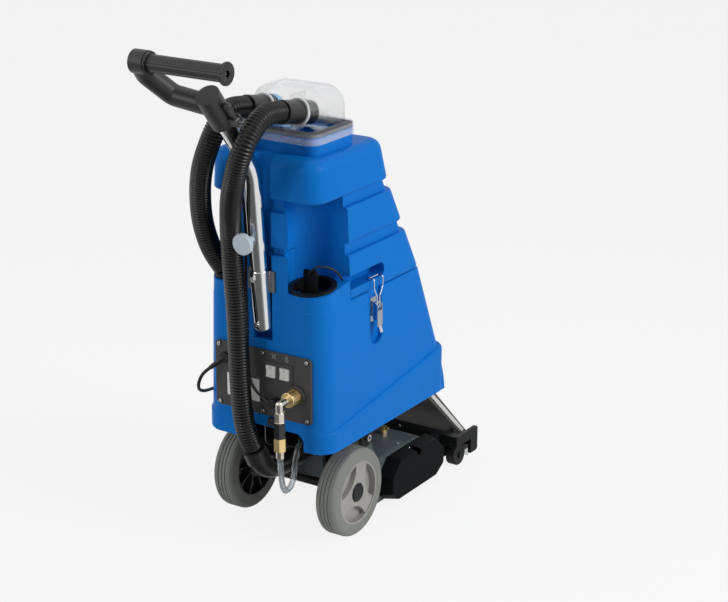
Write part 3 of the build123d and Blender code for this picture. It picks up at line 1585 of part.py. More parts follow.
def deck_housing():
    """Folded grey sheet: round front, back, top and two side plates, open below and behind its cover."""
    width = deck_right - deck_left
    body = extrude(deck_profile(deck_left, 0), width, dir=(1, 0, 0))
    body -= extrude(deck_profile(deck_left + deck_sheet, deck_sheet), width - 2 * deck_sheet,
                    dir=(1, 0, 0))
    x0 = deck_left + 4 * deck_sheet
    x1 = deck_right - 4 * deck_sheet
    body -= block(x0, x1, deck_rear + 4 * deck_sheet, deck_cover_front - 4 * deck_sheet,
                  deck_top - 2 * deck_sheet,
                  2 * deck_top)
    body -= end_window(deck_left - deck_sheet, deck_left + 2 * deck_sheet, 0)
    body -= rod((deck_right - 2 * deck_sheet, brush_y, brush_z),
                (deck_right + deck_sheet, brush_y, brush_z),
                brush_shaft / 2 + running_gap)
    body -= rod((deck_right - 2 * deck_sheet, motor_y, motor_z),
                (deck_right + deck_sheet, motor_y, motor_z),
                motor_shaft)
    body -= block(deck_left - cut_over, deck_right + cut_over, deck_rear - cut_over,
                  deck_rear + 2 * deck_sheet, 0,
                  deck_rear_low)
    for side in (-1, 1):
        body += deck_lug(side)
    return body


def deck_lug(side):
    """Plate on the deck's top that is bolted to one chassis arm."""
    x0 = side * (pivot_x - pivot_plate)
    x1 = x0 - side * deck_lug_wall
    high = pivot_z + lug_round / 2
    wing = lug_round * math.sqrt(0.75)
    foot = deck_top - deck_sheet
    side_shape = make_face(Polyline(
        (x0, deck_rear, foot), (x0, deck_rear + lug_foot, foot), (x0, pivot_y + wing, high),
        (x0, pivot_y - wing, high), (x0, pivot_y - lug_round, pivot_z), close=True))
    lug = extrude(side_shape, deck_lug_wall, dir=(-side, 0, 0))
    lug += rod((x0, pivot_y, pivot_z), (x1, pivot_y, pivot_z), lug_round)
    return lug - rod((x0 + side, pivot_y, pivot_z), (x1 - side, pivot_y, pivot_z),
                     pivot_bolt / 2 + running_gap)


def end_window(x0, x1, gap):
    """Arched opening in the left side plate that the brush comes out of."""
    radius = end_plate_half_width - deck_sheet * 4 - gap
    shape = rod((x0, brush_y, brush_z), (x1, brush_y, brush_z), radius)
    return shape + block(x0, x1, brush_y - radius, brush_y + radius, 0, brush_z)


def deck_cover():
    """Flat cover plate over the motor, with the switch bezel."""
    x0 = deck_left + deck_sheet
    x1 = deck_right - deck_sheet
    y0 = deck_rear + deck_sheet
    z0 = deck_top
    body = block(x0, x1, y0, deck_cover_front, z0, z0 + deck_cover_thickness)
    for side in (-1, 1):
        lug0 = side * (pivot_x - pivot_plate + slip_gap)
        lug1 = side * (pivot_x - pivot_plate - slip_gap - deck_lug_wall)
        body -= block(lug0, lug1, 0, deck_rear + lug_foot + slip_gap, 0, 2 * deck_top)
    half = rocker_height / 2 + moving_gap + frame_border
    wide = rocker_width / 2 + moving_gap + frame_border
    cx = deck_rocker_x
    cy = deck_rocker_y
    top = z0 + deck_cover_thickness
    body += block(cx - half, cx + half, cy - wide, cy + wide, z0, top + frame_proud)
    inner = frame_border
    body -= block(cx - half + inner, cx + half - inner, cy - wide + inner, cy + wide - inner, 0,
                  2 * deck_top)
    pin = rocker_pin / 2 + running_gap
    z = deck_pin_z()
    body += block(cx - frame_border, cx + frame_border, cy - wide, cy - wide + inner, z - frame_border,
                  z0)
    body += block(cx - frame_border, cx + frame_border, cy + wide - inner, cy + wide, z - frame_border,
                  z0)
    reach = wide - inner / 2
    body -= rod((cx, cy - reach, z), (cx, cy + reach, z), pin)
    return body


def deck_pin_z():
    """Height of the deck switch pin."""
    return deck_top + deck_cover_thickness - rocker_depth / 4


def deck_rocker():
    """Green rocker of the deck switch."""
    half = rocker_width / 2
    rise = rocker_height / 2 - moving_gap
    face = deck_top + deck_cover_thickness + frame_proud
    kick = rise * math.tan(math.radians(rocker_kick))
    z = deck_pin_z()
    x = deck_rocker_x
    points = [(x, face + rocker_proud), (x + rise, face + rocker_proud + kick), (x + rise, z),
              (x, z - rocker_depth / 2),
              (x - rise, z), (x - rise, face + rocker_proud + kick)]
    side = make_face(Polyline(*[(px, deck_rocker_y - half, pz) for px, pz in points], close=True))
    body = extrude(side, 2 * half, dir=(0, 1, 0))
    reach = half + moving_gap + frame_border / 3
    return body + rod((x, deck_rocker_y - reach, z), (x, deck_rocker_y + reach, z), rocker_pin / 2)


def end_plate():
    """D-shaped plate that closes the brush opening and carries the flange bearing."""
    x1 = deck_left
    x0 = x1 - end_plate_thickness
    body = rod((x0, brush_y, brush_z), (x1, brush_y, brush_z), end_plate_half_width)
    body += block(x0, x1, brush_y - end_plate_half_width, brush_y + end_plate_half_width, end_plate_low,
                  brush_z)
    body -= block(x0 - cut_over, x1 + cut_over, 0, 2 * brush_y, -brush_diameter, end_plate_low)
    return body - rod((x0 - cut_over, brush_y, brush_z), (x1 + cut_over, brush_y, brush_z),
                      brush_shaft / 2 + moving_gap)


def flange_bearing():
    """Two-bolt flange bearing on the end plate."""
    x1 = deck_left - end_plate_thickness
    x0 = x1 - bearing_flange
    body = rod((x0, brush_y, brush_z), (x1, brush_y, brush_z), bearing_diameter / 2)
    ear = bearing_ear / 2
    tilt = math.radians(bearing_tilt)
    for side in (-1, 1):
        tip = (brush_y + side * ear * math.cos(tilt), brush_z + side * ear * math.sin(tilt))
        body += rod((x0, tip[0], tip[1]), (x1, tip[0], tip[1]), bearing_bolt)
        across = Vector(0, tip[0] - brush_y, tip[1] - brush_z)
        web = Pos((x0 + x1) / 2, (tip[0] + brush_y) / 2, (tip[1] + brush_z) / 2) * Rot(
            bearing_tilt, 0, 0) * Box(bearing_flange, across.length, 2 * bearing_bolt)
        body += web
        body += rod((x0 - bearing_flange, tip[0], tip[1]), (x0, tip[0], tip[1]), bearing_bolt / 2)
    body += rod((x1 - bearing_length, brush_y, brush_z), (x1, brush_y, brush_z),
                bearing_diameter / 2 - bearing_flange)
    return body - rod((x1 - 2 * bearing_length, brush_y, brush_z), (x1 + cut_over, brush_y, brush_z),
                      brush_shaft / 2 + running_gap)


def brush_span():
    """Left and right ends of the brush core."""
    return deck_left + deck_sheet + brush_end_gap, deck_right - deck_sheet - brush_end_gap


def pulley_place():
    """Inner and outer face of both pulleys."""
    x0 = deck_right + brush_end_gap
    return x0, x0 + pulley_width


def brush_roller():
    """Brush core on its shaft, with the toothed pulley on the right end."""
    x0, x1 = brush_span()
    p1 = pulley_place()[1]
    left = deck_left - end_plate_thickness - bearing_length
    body = rod((left, brush_y, brush_z), (p1, brush_y, brush_z), brush_shaft / 2)
    body += rod((x0, brush_y, brush_z), (x1, brush_y, brush_z), brush_core_diameter / 2)
    return body + pulley(brush_y, brush_z, brush_pulley_diameter)


def pulley(y, z, diameter):
    """A flanged belt pulley."""
    p0, p1 = pulley_place()
    side = (pulley_width - belt_width) / 2 - belt_gap
    body = rod((p0, y, z), (p1, y, z), diameter / 2)
    for a, b in ((p0, p0 + side), (p1 - side, p1)):
        body += rod((a, y, z), (b, y, z), diameter / 2 + belt_gap + belt_thickness)
    return body


def motor_pulley():
    """Motor shaft with the small belt pulley."""
    p1 = pulley_place()[1]
    shaft = rod((motor_end(), motor_y, motor_z), (p1, motor_y, motor_z), motor_shaft / 2)
    return shaft + pulley(motor_y, motor_z, motor_pulley_diameter)


def motor_end():
    """Left end of the motor shaft inside the motor."""
    return deck_right - deck_sheet - brush_end_gap - motor_length / 4


def brush_motor():
    """Brush motor standing on a foot against the back of the deck."""
    x1 = deck_right - deck_sheet
    x0 = x1 - motor_length
    body = rod((x0, motor_y, motor_z), (x1, motor_y, motor_z), motor_diameter / 2)
    body = fillet(body.edges().filter_by(GeomType.CIRCLE).sort_by(Axis.X)[0], motor_shaft / 2)
    back = deck_rear + deck_sheet
    for x in (x0 + motor_length / 4, x1 - motor_length / 4):
        body += block(x - motor_shaft, x + motor_shaft, back, motor_y, motor_z - motor_shaft,
                      motor_z + motor_shaft)
    return body - rod((motor_end() - running_gap, motor_y, motor_z), (x1 + cut_over, motor_y, motor_z),
                      motor_shaft / 2 + running_gap)


def drive_belt():
    """Flat belt round both pulleys."""
    p0, p1 = pulley_place()
    middle = (p0 + p1) / 2
    x0 = middle - belt_width / 2

    def loop(extra):
        a = motor_pulley_diameter / 2 + belt_gap + extra
        b = brush_pulley_diameter / 2 + belt_gap + extra
        dy = brush_y - motor_y
        dz = brush_z - motor_z
        span = math.hypot(dy, dz)
        tilt = math.atan2(dz, dy)
        lean = math.asin((b - a) / span)
        points = []
        for sign in (1, -1):
            n = tilt + sign * (math.pi / 2 + lean)
            points.append(((motor_y + a * math.cos(n), motor_z + a * math.sin(n)),
                           (brush_y + b * math.cos(n), brush_z + b * math.sin(n))))
        back = (motor_y - a * math.cos(tilt), motor_z - a * math.sin(tilt))
        fore = (brush_y + b * math.cos(tilt), brush_z + b * math.sin(tilt))
        (m0, b0), (m1, b1) = points
        at = [(x0, y, z) for y, z in (m0, b0, fore, b1, m1, back)]
        return make_face(Curve() + [Line(at[0], at[1]), ThreePointArc(at[1], at[2], at[3]),
                                    Line(at[3], at[4]),
                                    ThreePointArc(at[4], at[5], at[0])])

    return extrude(loop(belt_thickness), belt_width, dir=(1, 0, 0)) - extrude(loop(0), belt_width,
                                                                              dir=(1, 0, 0))


def cover_outline(x, shrink):
    """Chamfered outline of the belt cover."""
    y0 = cover_rear + shrink
    y1 = cover_front - shrink
    z0 = cover_low + shrink
    z1 = cover_high - shrink
    c = cover_chamfer
    low = z0 + cover_chamfer_low
    points = [(y0 + c, z1), (y1 - c, z1), (y1, z1 - c), (y1, low), (y1 - c, z0),
              (y0 + cover_chamfer_rear, z0),
              (y0, low), (y0, z1 - c)]
    face = make_face(Polyline(*[(x, y, z) for y, z in points], close=True))
    return fillet(face.vertices(), cover_corner)


def belt_cover():
    """Black belt cover on the right side plate."""
    x0 = deck_right
    x1 = deck_right + cover_depth
    body = loft([cover_outline(x0, 0), cover_outline(x1, cover_draft)], ruled=True)
    body = fillet(body.faces().sort_by(Axis.X)[-1].edges(), cover_edge)
    body -= loft([cover_outline(x0, cover_wall), cover_outline(x1 - cover_wall,
                                                               cover_draft + cover_wall)], ruled=True)
    notch_y = (cover_rear + cover_front) / 2
    half = cover_notch / 2
    notch = block(x0 + cover_depth / 3, x1 + cut_over, notch_y - half, notch_y + half,
                  cover_high - cover_draft - cover_notch_depth, 2 * cover_high)
    notch = fillet(notch.edges().filter_by(Axis.X).group_by(Axis.Z)[0], cover_notch_corner)
    return body - notch + notch_floor(notch_y)


def notch_floor(y):
    """Recessed floor of the screw notch in the belt cover."""
    x1 = deck_right + cover_depth / 3
    x0 = x1 - cover_wall
    z0 = cover_high - cover_draft - cover_notch_depth - cover_wall
    half = cover_notch / 2 + cover_wall
    back = block(x0, x1, y - half, y + half, z0, cover_high - cover_wall)
    return back + block(x0, deck_right + cover_depth - cover_wall, y - half, y + half, z0,
                        z0 + cover_wall)


def bristles():
    """Helical rows of tufts fused to a thin backing sleeve on the brush core."""
    x0, x1 = brush_span()
    inner = brush_core_diameter / 2
    outer = inner + brush_backing
    sleeve = tube((x0, brush_y, brush_z), (x1, brush_y, brush_z), outer, inner)
    margin = 2 * tuft_width
    length = x1 - x0 - 2 * margin
    strands = []
    reach = brush_diameter / 2 - outer + brush_backing / 2
    for row in range(tuft_rows):
        for k in range(tufts_per_row):
            share = (k + 1 / 2) / tufts_per_row
            angle = 360 * row / tuft_rows + tuft_twist * share
            strand = Box(tuft_width, tuft_width, reach, align=(Align.CENTER, Align.CENTER, Align.MIN))
            place = Pos(x0 + margin + share * length, brush_y, brush_z) * Rot(angle, 0, 0)
            strands.append(place * Pos(0, 0, outer - brush_backing / 2) * strand)
    return sleeve.fuse(*strands)


def spray_fittings():
    """Brass spray jets on the round of the deck, with their feed stubs."""
    pieces = []
    for x in (-spray_x, spray_x):
        low = (x, spray_y, deck_top)
        body = rod(low, (x, spray_y, deck_top + spray_height), spray_diameter / 2)
        body += hexagon(low, (x, spray_y, deck_top + spray_height / 2), spray_nut_across)
        mid = deck_top + spray_pipe_up
        body += rod((x - spray_diameter, spray_y, mid), (x + spray_diameter, spray_y, mid),
                    spray_pipe / 2)
        pieces.append(body)
    return Compound(pieces)


# Front bar and shoe

def front_bar():
    """Black front frame: arms from the deck, cross bar and the cheeks that hold rollers and shoe."""
    body = block(-bar_half_length, bar_half_length, bar_rear, bar_rear + bar_depth, bar_low, bar_high)
    for side in (-1, 1):
        x0 = side * (bar_arm_x - bar_arm_width / 2)
        x1 = side * (bar_arm_x + bar_arm_width / 2)
        front_at = deck_front - (deck_top - deck_low) * (1 - math.sqrt(0.5))
        body += block(x0, x1, front_at, bar_rear, bar_low, bar_high)
        cheek0 = side * bar_half_length
        cheek1 = side * (bar_half_length + cheek_wall)
        cheek = block(cheek0, cheek1, bar_rear, cheek_front, shoe_low, bar_high)
        cheek = fillet(cheek.edges().filter_by(Axis.X), cheek_wall)
        cheek += block(cheek0, cheek1, cheek_front - cheek_foot, cheek_front, cheek_low, shoe_pin_z)
        relief = roller_diameter / 2 + cheek_relief
        body += cheek - block(cheek0, cheek1, bar_rear - cut_over, roller_y + relief, 0, 2 * relief)
        hang1 = side * (roller_x - roller_width / 2 - moving_gap)
        hang0 = hang1 - side * hanger_wall
        axis = roller_diameter / 2
        body += block(hang0, hang1, bar_rear, roller_y, axis, bar_high)
        body += block(hang0, hang1, roller_y - hanger_round, roller_y + hanger_round, axis, bar_high)
        body += rod((hang0, roller_y, axis), (hang1, roller_y, axis), hanger_round)
        head0 = side * (roller_x + roller_width / 2 + moving_gap)
        head1 = head0 + side * roller_head_height
        body += rod((hang0, roller_y, axis), (head1, roller_y, axis), roller_pin / 2)
        body += rod((head0, roller_y, axis), (head1, roller_y, axis), roller_head / 2)
        body += rod((cheek1, shoe_y, shoe_pin_z), (side * (shoe_mouth_half - shoe_wall), shoe_y,
                                                   shoe_pin_z),
                    shoe_pin / 2)
    body -= extrude(deck_profile(deck_left, -running_gap), deck_right - deck_left, dir=(1, 0, 0))
    return body


def roller(side):
    """Black front roller on its pin."""
    x = side * roller_x
    a = (x - roller_width / 2, roller_y, roller_diameter / 2)
    b = (x + roller_width / 2, roller_y, roller_diameter / 2)
    body = rod(a, b, roller_diameter / 2)
    body = fillet(body.edges().filter_by(GeomType.CIRCLE), roller_pin / 3)
    return body - rod((a[0] - cut_over, a[1], a[2]), (b[0] + cut_over, b[1], b[2]),
                      roller_pin / 2 + running_gap)


def shoe_section(z, y, half, depth, inset):
    """Level section of the fishtail shoe."""
    return Pos(0, y, z) * Rectangle(2 * (half - inset), depth - 2 * inset)


def fishtail(inset, lift):
    """Outer or inner form of the shoe: a straight sole and a leaning, narrowing neck."""
    sole = shoe_section(shoe_low + shoe_sole, shoe_y, shoe_mouth_half, shoe_mouth_depth, inset)
    low = shoe_section(shoe_low, shoe_y, shoe_mouth_half, shoe_mouth_depth, inset)
    neck = shoe_section(shoe_neck_z - lift, shoe_neck_y, shoe_neck_half, shoe_neck_depth, inset)
    return loft([low, sole], ruled=True) + loft([sole, neck], ruled=True)


def shoe_body():
    """Fishtail vacuum shoe, hollow and open below, with a port for the suction pipe."""
    body = fishtail(0, 0) - fishtail(shoe_wall, shoe_wall)
    z = pipe_low + pipe_rise
    port = pipe_diameter / 2 + shoe_port_gap
    body -= rod((0, skirt_front, z), (0, shoe_neck_y + shoe_neck_depth / 4, z), port)
    return body - rod((-bar_half_length, shoe_y, shoe_pin_z), (bar_half_length, shoe_y, shoe_pin_z),
                      shoe_pin / 2 + running_gap)


def shoe_lip():
    """Clear lip on the front of the shoe's mouth."""
    y0 = shoe_y + shoe_mouth_depth / 2
    body = block(-shoe_mouth_half, shoe_mouth_half, y0, y0 + lip_thickness, lip_low,
                 shoe_low + lip_overlap)
    return fillet(body.edges().filter_by(Axis.X).group_by(Axis.Z)[0], lip_thickness / 3)


# Latches

def latch_pivot_x():
    """Distance from the middle to a latch pivot."""
    return latch_wall() + latch_plate + latch_pivot_out


def latch_base(side):
    """Base plate with two lugs and the pivot pin."""
    wall = latch_wall()
    body = block(side * wall, side * (wall + latch_plate), latch_y - latch_base_half,
                 latch_y + latch_base_half,
                 latch_base_low, latch_base_high)
    x = latch_pivot_x()
    for k in (-1, 1):
        y0 = latch_y + k * latch_lug_gap
        y1 = y0 - k * latch_lug_wall
        lug = block(side * wall, side * x, y0, y1, latch_pivot_z - latch_pin, latch_pivot_z + latch_pin)
        body += lug + rod((side * x, y0, latch_pivot_z), (side * x, y1, latch_pivot_z), latch_pin)
    half = latch_lever_half
    return body + rod((side * x, latch_y - half, latch_pivot_z),
                      (side * x, latch_y + half, latch_pivot_z), latch_pin / 2)


def latch_lever(side):
    """Pressed lever: outer face, two cheeks on the pivot pin and a curled tip."""
    x = latch_pivot_x()
    face0 = x + latch_lever_face
    face1 = face0 + latch_lever_wall
    z0 = latch_pivot_z - latch_lever_length
    half = latch_lever_half
    body = block(side * face0, side * face1, latch_y - half, latch_y + half, z0,
                 latch_pivot_z - latch_lever_notch)
    for k in (-1, 1):
        y1 = latch_y + k * half
        y0 = y1 - k * latch_lever_wall
        cheek = block(side * (x - latch_pin), side * face1, y0, y1, z0 + latch_tip, latch_pivot_z)
        cheek += rod((side * x, y0, latch_pivot_z), (side * x, y1, latch_pivot_z), latch_pin)
        body += cheek
    tip = [(face0, z0), (face1, z0), (face1 + latch_tip / 3, z0 - latch_tip),
           (face1 + latch_tip / 3 - latch_lever_wall,
                                                                               z0 - latch_tip)]
    curl = make_face(Polyline(*[(side * px, latch_y - half / 2, pz) for px, pz in tip], close=True))
    body += extrude(curl, half, dir=(0, 1, 0))
    hole = latch_pin / 2 + running_gap
    body -= rod((side * x, latch_y - 2 * half, latch_pivot_z),
                (side * x, latch_y + 2 * half, latch_pivot_z), hole)
    z = latch_pivot_z - bail_pin_drop
    body += rod((side * (face0 - bail_wire), latch_y - half, z),
                (side * (face0 - bail_wire), latch_y + half, z),
                bail_wire / 2)
    return body


def bail_x():
    """Distance from the middle to the bail's own pivot."""
    return latch_pivot_x() + latch_lever_face - bail_wire


def latch_bail(side):
    """Wire bail from the lever up to the hook over the lip of the hand slot."""
    x = side * bail_x()
    hook = side * (bail_x() - bail_hook)
    z = latch_pivot_z - bail_pin_drop
    low = z + bail_foot
    y0 = latch_y - bail_half
    y1 = latch_y + bail_half
    left = latch_y - bail_wide
    right = latch_y + bail_wide
    path = FilletPolyline((x, y0, low), (x, y0, bail_neck), (x, left, bail_shoulder), (x, left, bail_top),
                          (hook, left, bail_top), (hook, right, bail_top), (x, right, bail_top),
                          (x, right, bail_shoulder), (x, y1, bail_neck), (x, y1, low), radius=bail_wire)
    body = sweep(Plane(origin=path @ 0, z_dir=path % 0) * Circle(bail_wire / 2), path)
    for y in (y0, y1):
        body += rod((x, y - bail_wire / 3, z), (x, y + bail_wire / 3, z), bail_wire)
    hole = bail_wire / 2 + running_gap
    return body - rod((x, latch_y - latch_lever_half, z), (x, latch_y + latch_lever_half, z), hole)


# Filler

def filler_basket():
    """Strainer basket: sloping rim on the pocket floor, slotted cup, cross bar and lifting tab."""
    outer = basket_diameter / 2
    low = pocket_floor - basket_depth
    high = pocket_floor + filler_rim_diameter
    column = rod((pocket_x, pocket_y, low), (pocket_x, pocket_y, high), outer)
    disc = Cylinder(filler_rim_diameter / 2, filler_rim_height,
                    align=(Align.CENTER, Align.CENTER, Align.MIN))
    disc = fillet(disc.edges().group_by(Axis.Z)[-1], filler_rim_height / 3)
    disc = Pos(pocket_x, pocket_y, pocket_floor + running_gap) * Rot(pocket_tilt, 0, 0) * disc
    body = disc + (column - above_floor(filler_rim_height / 2))
    body -= rod((pocket_x, pocket_y, low + basket_wall), (pocket_x, pocket_y, high), outer - basket_wall)
    slot_high = pocket_floor - basket_depth / 4
    for k in range(basket_slots):
        slot = block(-basket_slot_width / 2, basket_slot_width / 2, outer - 2 * basket_wall,
                     outer + basket_wall,
                     low + 2 * basket_wall, slot_high)
        body -= Pos(pocket_x, pocket_y, 0) * Rot(0, 0, 360 * (k + 1 / 2) / basket_slots) * slot
    reach = outer - basket_wall / 2
    half = tab_thickness / 2
    body += block(pocket_x - reach, pocket_x + reach, pocket_y - half, pocket_y + half, slot_high,
                  slot_high + tab_thickness)
    tab = block(tab_x - tab_width / 2, tab_x + tab_width / 2, pocket_y - half, pocket_y + half, slot_high,
                pocket_floor + tab_height)
    tab = fillet(tab.edges().filter_by(Axis.Y).group_by(Axis.Z)[-1], tab_width / 6)
    return basket_parts(body + tab)


def sector(k, count):
    """Upright wedge round the filler's axis, one of a count that fill the circle."""
    turn = 2 * math.pi / count
    corners = [(pocket_x, pocket_y)]
    for angle in (k * turn, (k + 1) * turn):
        corners.append((pocket_x + filler_rim_diameter * math.cos(angle),
                        pocket_y + filler_rim_diameter * math.sin(angle)))
    return extrude(make_face(Polyline(*corners, close=True)), 2 * pocket_floor)


def basket_parts(body):
    """The basket as a floor, a cross bar with its tab, and sectors of wall and rim that meet."""
    foot = (pocket_x, pocket_y, 0)
    head = (pocket_x, pocket_y, 2 * pocket_floor)
    core = rod(foot, head, basket_diameter / 2 - basket_wall)
    shell = rod(foot, head, basket_diameter / 2)
    parts = list((body & core).solids())
    wall = (body & shell) - core
    rim = body - shell
    for k in range(basket_sectors):
        parts += (wall & sector(k, basket_sectors)).solids()
    for k in range(rim_sectors):
        parts += (rim & sector(k, rim_sectors)).solids()
    print("basket", len(parts), "volume kept", sum(b.volume for b in parts) / body.volume)
    return Compound(parts)


# Machinery

def vacuum_motor():
    """Vacuum motor: wide fan stage standing on the pan with the motor can above."""
    z0 = rail_top + pan_thickness
    body = rod((vac_x, vac_y, z0), (vac_x, vac_y, z0 + vac_height), vac_diameter / 2)
    body += rod((vac_x, vac_y, z0), (vac_x, vac_y, z0 + vac_height + vac_can_height),
                vac_can_diameter / 2)
    return body


def pump():
    """Solution pump: round motor and square head on a foot."""
    z0 = rail_top + pan_thickness
    z = z0 + pump_foot + pump_diameter / 2
    body = rod((pump_x, pump_y - pump_length / 2, z), (pump_x, pump_y + pump_length / 2, z),
               pump_diameter / 2)
    head = pump_diameter / 2
    y1 = pump_y + pump_length / 2
    body += block(pump_x - head, pump_x + head, y1, y1 + pump_head, z - head, z + head)
    return body + block(pump_x - head, pump_x + head, pump_y - pump_length / 3, y1, z0, z)


def fasteners():
    """Panel screws, sleeve bolts and the bolts of the deck, as one group."""
    pieces = []
    face = panel_face()
    for x, z in panel_screws_at():
        pieces.append(screw((x, face, z), (0, -1, 0), screw_diameter, screw_head, screw_diameter / 2,
                            panel_thickness + tank_wall / 2))
    for along in (bolt_low, bolt_high):
        seat = on_tube(along) + rearward() * (sleeve_diameter / 2)
        pieces.append(socket_bolt(tuple(seat), tuple(rearward()), bolt_diameter, bolt_head,
                                  bolt_diameter / 2,
                                  (sleeve_diameter - tube_diameter) / 2))
    for side in (-1, 1):
        reach = pivot_plate + deck_lug_wall
        bolt = socket_bolt((side * pivot_x, pivot_y, pivot_z), (side, 0, 0), pivot_head,
                           pivot_head_height, pivot_bolt,
                           reach)
        inside = side * (pivot_x - reach)
        nut = hexagon((inside, pivot_y, pivot_z), (inside - side * pivot_head_height, pivot_y, pivot_z),
                      pivot_head)
        pieces.append(bolt + nut)
    return Compound(pieces)


keep("solution_tank", solution_tank())
keep("recovery_tank", recovery_tank())
keep("lid_gasket", gasket())
keep("dome_lid", dome_lid())
keep("float_cage", float_cage())
keep("hose_cuffs", Compound(cuffs() + [inlet_collar()]))
keep("vacuum_hose_right", ribbed_hose(hose_route(1, hose_right_points), "vacuum_hose_right"))
keep("vacuum_hose_left", ribbed_hose(hose_route(-1, hose_left_points), "vacuum_hose_left"))
keep("suction_pipe", suction_pipe())
keep("control_panel", control_panel())
keep("switch_frame", switch_frame())
for name, x in zip(("rocker_vacuum", "rocker_pump"), rocker_places()):
    keep(name, rocker(x))
keep("fasteners", fasteners())
keep("brass_fittings", brass_fittings())
keep("nickel_fittings", nickel_fittings())
keep("solution_hose", solution_hose())
keep("cable_boots", cable_boots())
keep("mains_lead", cord(mains_route(), lead_diameter, "mains_lead"))
keep("mains_coil", mains_coil())
keep("mains_plug", mains_plug())
keep("control_lead", cord(control_points, control_diameter, "control_lead"))
keep("handle_tube", handle_tube())
keep("tube_sleeve", tube_sleeve())
keep("cord_peg", cord_peg())
keep("handle_arm", handle_arm())
keep("handle_grip", handle_grip())
keep("clamp_lever", clamp_lever())
for side_name, side in (("left", -1), ("right", 1)):
    keep("tyre_" + side_name, tyre(side))
    keep("hub_" + side_name, hub(side))
    keep("shoe_roller_" + side_name, roller(side))
    keep("latch_lever_" + side_name, latch_lever(side))
    keep("latch_bail_" + side_name, latch_bail(side))
keep("axle", axle())
keep("chassis_frame", chassis_frame())
keep("deck_housing", deck_housing())
keep("deck_cover", deck_cover())
keep("deck_rocker", deck_rocker())
keep("belt_cover", belt_cover())
keep("brush_motor", brush_motor())
keep("motor_pulley", motor_pulley())
keep("drive_belt", drive_belt())
keep("brush_roller", brush_roller())
keep("brush_bristles", bristles())
keep("brush_end_plate", end_plate())
keep("flange_bearing", flange_bearing())
keep("spray_fittings", spray_fittings())
keep("shoe_frame", front_bar())
keep("shoe_body", shoe_body())
keep("shoe_lip", shoe_lip())
keep("latch_bases", Compound([latch_base(-1), latch_base(1)]))
keep("filler_basket", filler_basket())
keep("filler_tether", cord(tether_points, tether_diameter, "filler_tether"))
keep("vacuum_motor", vacuum_motor())
keep("pump", pump())

print(len(nodes), "nodes")
for name, shape in nodes.items():
    export_step(shape, os.path.join("parts", name + ".step"))
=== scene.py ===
# %% [markdown]
# # Dressing a carpet extractor
# The machine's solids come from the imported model: tanks, panel, wheels, brush deck and shoe, each in its
# place and on its own moving body. Here they get their finishes, and the soft things (hoses, leads and
# bristles) are made again in full detail. Everything is in metres, in the frame of the solids. Routes and
# profiles are written in millimetres, as on a drawing, and divided by 1000 where they are used.

# %% Load the frame
import math

import bmesh
import bpy
from mathutils import Matrix, Vector


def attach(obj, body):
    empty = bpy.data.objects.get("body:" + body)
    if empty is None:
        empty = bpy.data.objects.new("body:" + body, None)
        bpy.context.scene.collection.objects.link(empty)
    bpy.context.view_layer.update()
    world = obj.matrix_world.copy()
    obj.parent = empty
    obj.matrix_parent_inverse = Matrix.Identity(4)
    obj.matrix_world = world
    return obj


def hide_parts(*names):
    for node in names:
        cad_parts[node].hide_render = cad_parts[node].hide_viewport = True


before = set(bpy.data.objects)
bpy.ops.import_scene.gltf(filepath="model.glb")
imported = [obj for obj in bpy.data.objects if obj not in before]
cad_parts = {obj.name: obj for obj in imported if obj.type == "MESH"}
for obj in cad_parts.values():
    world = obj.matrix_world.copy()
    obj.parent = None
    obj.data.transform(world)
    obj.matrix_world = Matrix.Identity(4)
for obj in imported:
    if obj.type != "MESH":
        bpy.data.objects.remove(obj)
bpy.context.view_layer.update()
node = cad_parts

# %% [markdown]
# ## The camera
# The photograph was taken from behind the machine, on its right, with a long lens a little above the lid.
# A camera could be pointed at something with a constraint. Here the place and the direction were fitted to
# the wheels and the panel's screws, so the camera is built from its own three axes instead.

# %% Camera
turn, tilt = math.radians(33.02), math.radians(18.77)
stand = (2.26598, -3.21578, 1.84786)
focal_pixels, picture_width = 1924.81, 728
right = Vector((math.cos(turn), math.sin(turn), 0))
ahead = Vector((-math.sin(turn) * math.cos(tilt), math.cos(turn) * math.cos(tilt), -math.sin(tilt)))
above = right.cross(ahead)
lens = bpy.data.cameras.new("camera")
lens.sensor_width = 36.0
lens.lens = focal_pixels * lens.sensor_width / picture_width
lens.clip_start = 0.1
camera = bpy.data.objects.new("camera", lens)
turned = Matrix((right, above, -ahead)).transposed().to_4x4()
camera.matrix_world = Matrix.Translation(stand) @ turned
bpy.context.scene.collection.objects.link(camera)
bpy.context.scene.camera = camera
print("lens", round(lens.lens, 1), "mm")

# %% [markdown]
# ## Colours and nodes
# Colours are written as sRGB hex values, as they would be picked from a paint card, and turned to linear
# light by one function. Nodes could be added and linked line by line, but a finish then fills a page. One
# function adds a node with its settings, its values and its links, so that a finish reads like a recipe. A
# mixing node numbers its sockets, and the four that mix colours get names here.

# %% Colour and node helpers
mix_share, mix_first, mix_second, mixed = 0, 6, 7, 2


def linear(code):
    """Linear colour of an sRGB hex code."""
    parts = [int(code[i:i + 2], 16) / 255 for i in (1, 3, 5)]
    return [p / 12.92 if p <= 0.04045 else ((p + 0.055) / 1.055) ** 2.4 for p in parts] + [1.0]


def add(tree, kind, values=(), links=(), **settings):
    """Adds one node: settings are its own choices, values go to its sockets, links come from other sockets."""
    made = tree.nodes.new(kind)
    for name, value in settings.items():
        setattr(made, name, value)
    for socket, value in dict(values).items():
        made.inputs[socket].default_value = value
    for socket, source in dict(links).items():
        tree.links.new(source, made.inputs[socket])
    return made


def start(name):
    """An empty material, its node tree and its object coordinates."""
    material = bpy.data.materials.new(name)
    material.use_nodes = True
    material.node_tree.nodes.clear()
    place = add(material.node_tree, "ShaderNodeTexCoord").outputs["Object"]
    return material, material.node_tree, place


def close(tree, surface):
    """Ends a material with its output."""
    add(tree, "ShaderNodeOutputMaterial", links={"Surface": surface.outputs[0]})


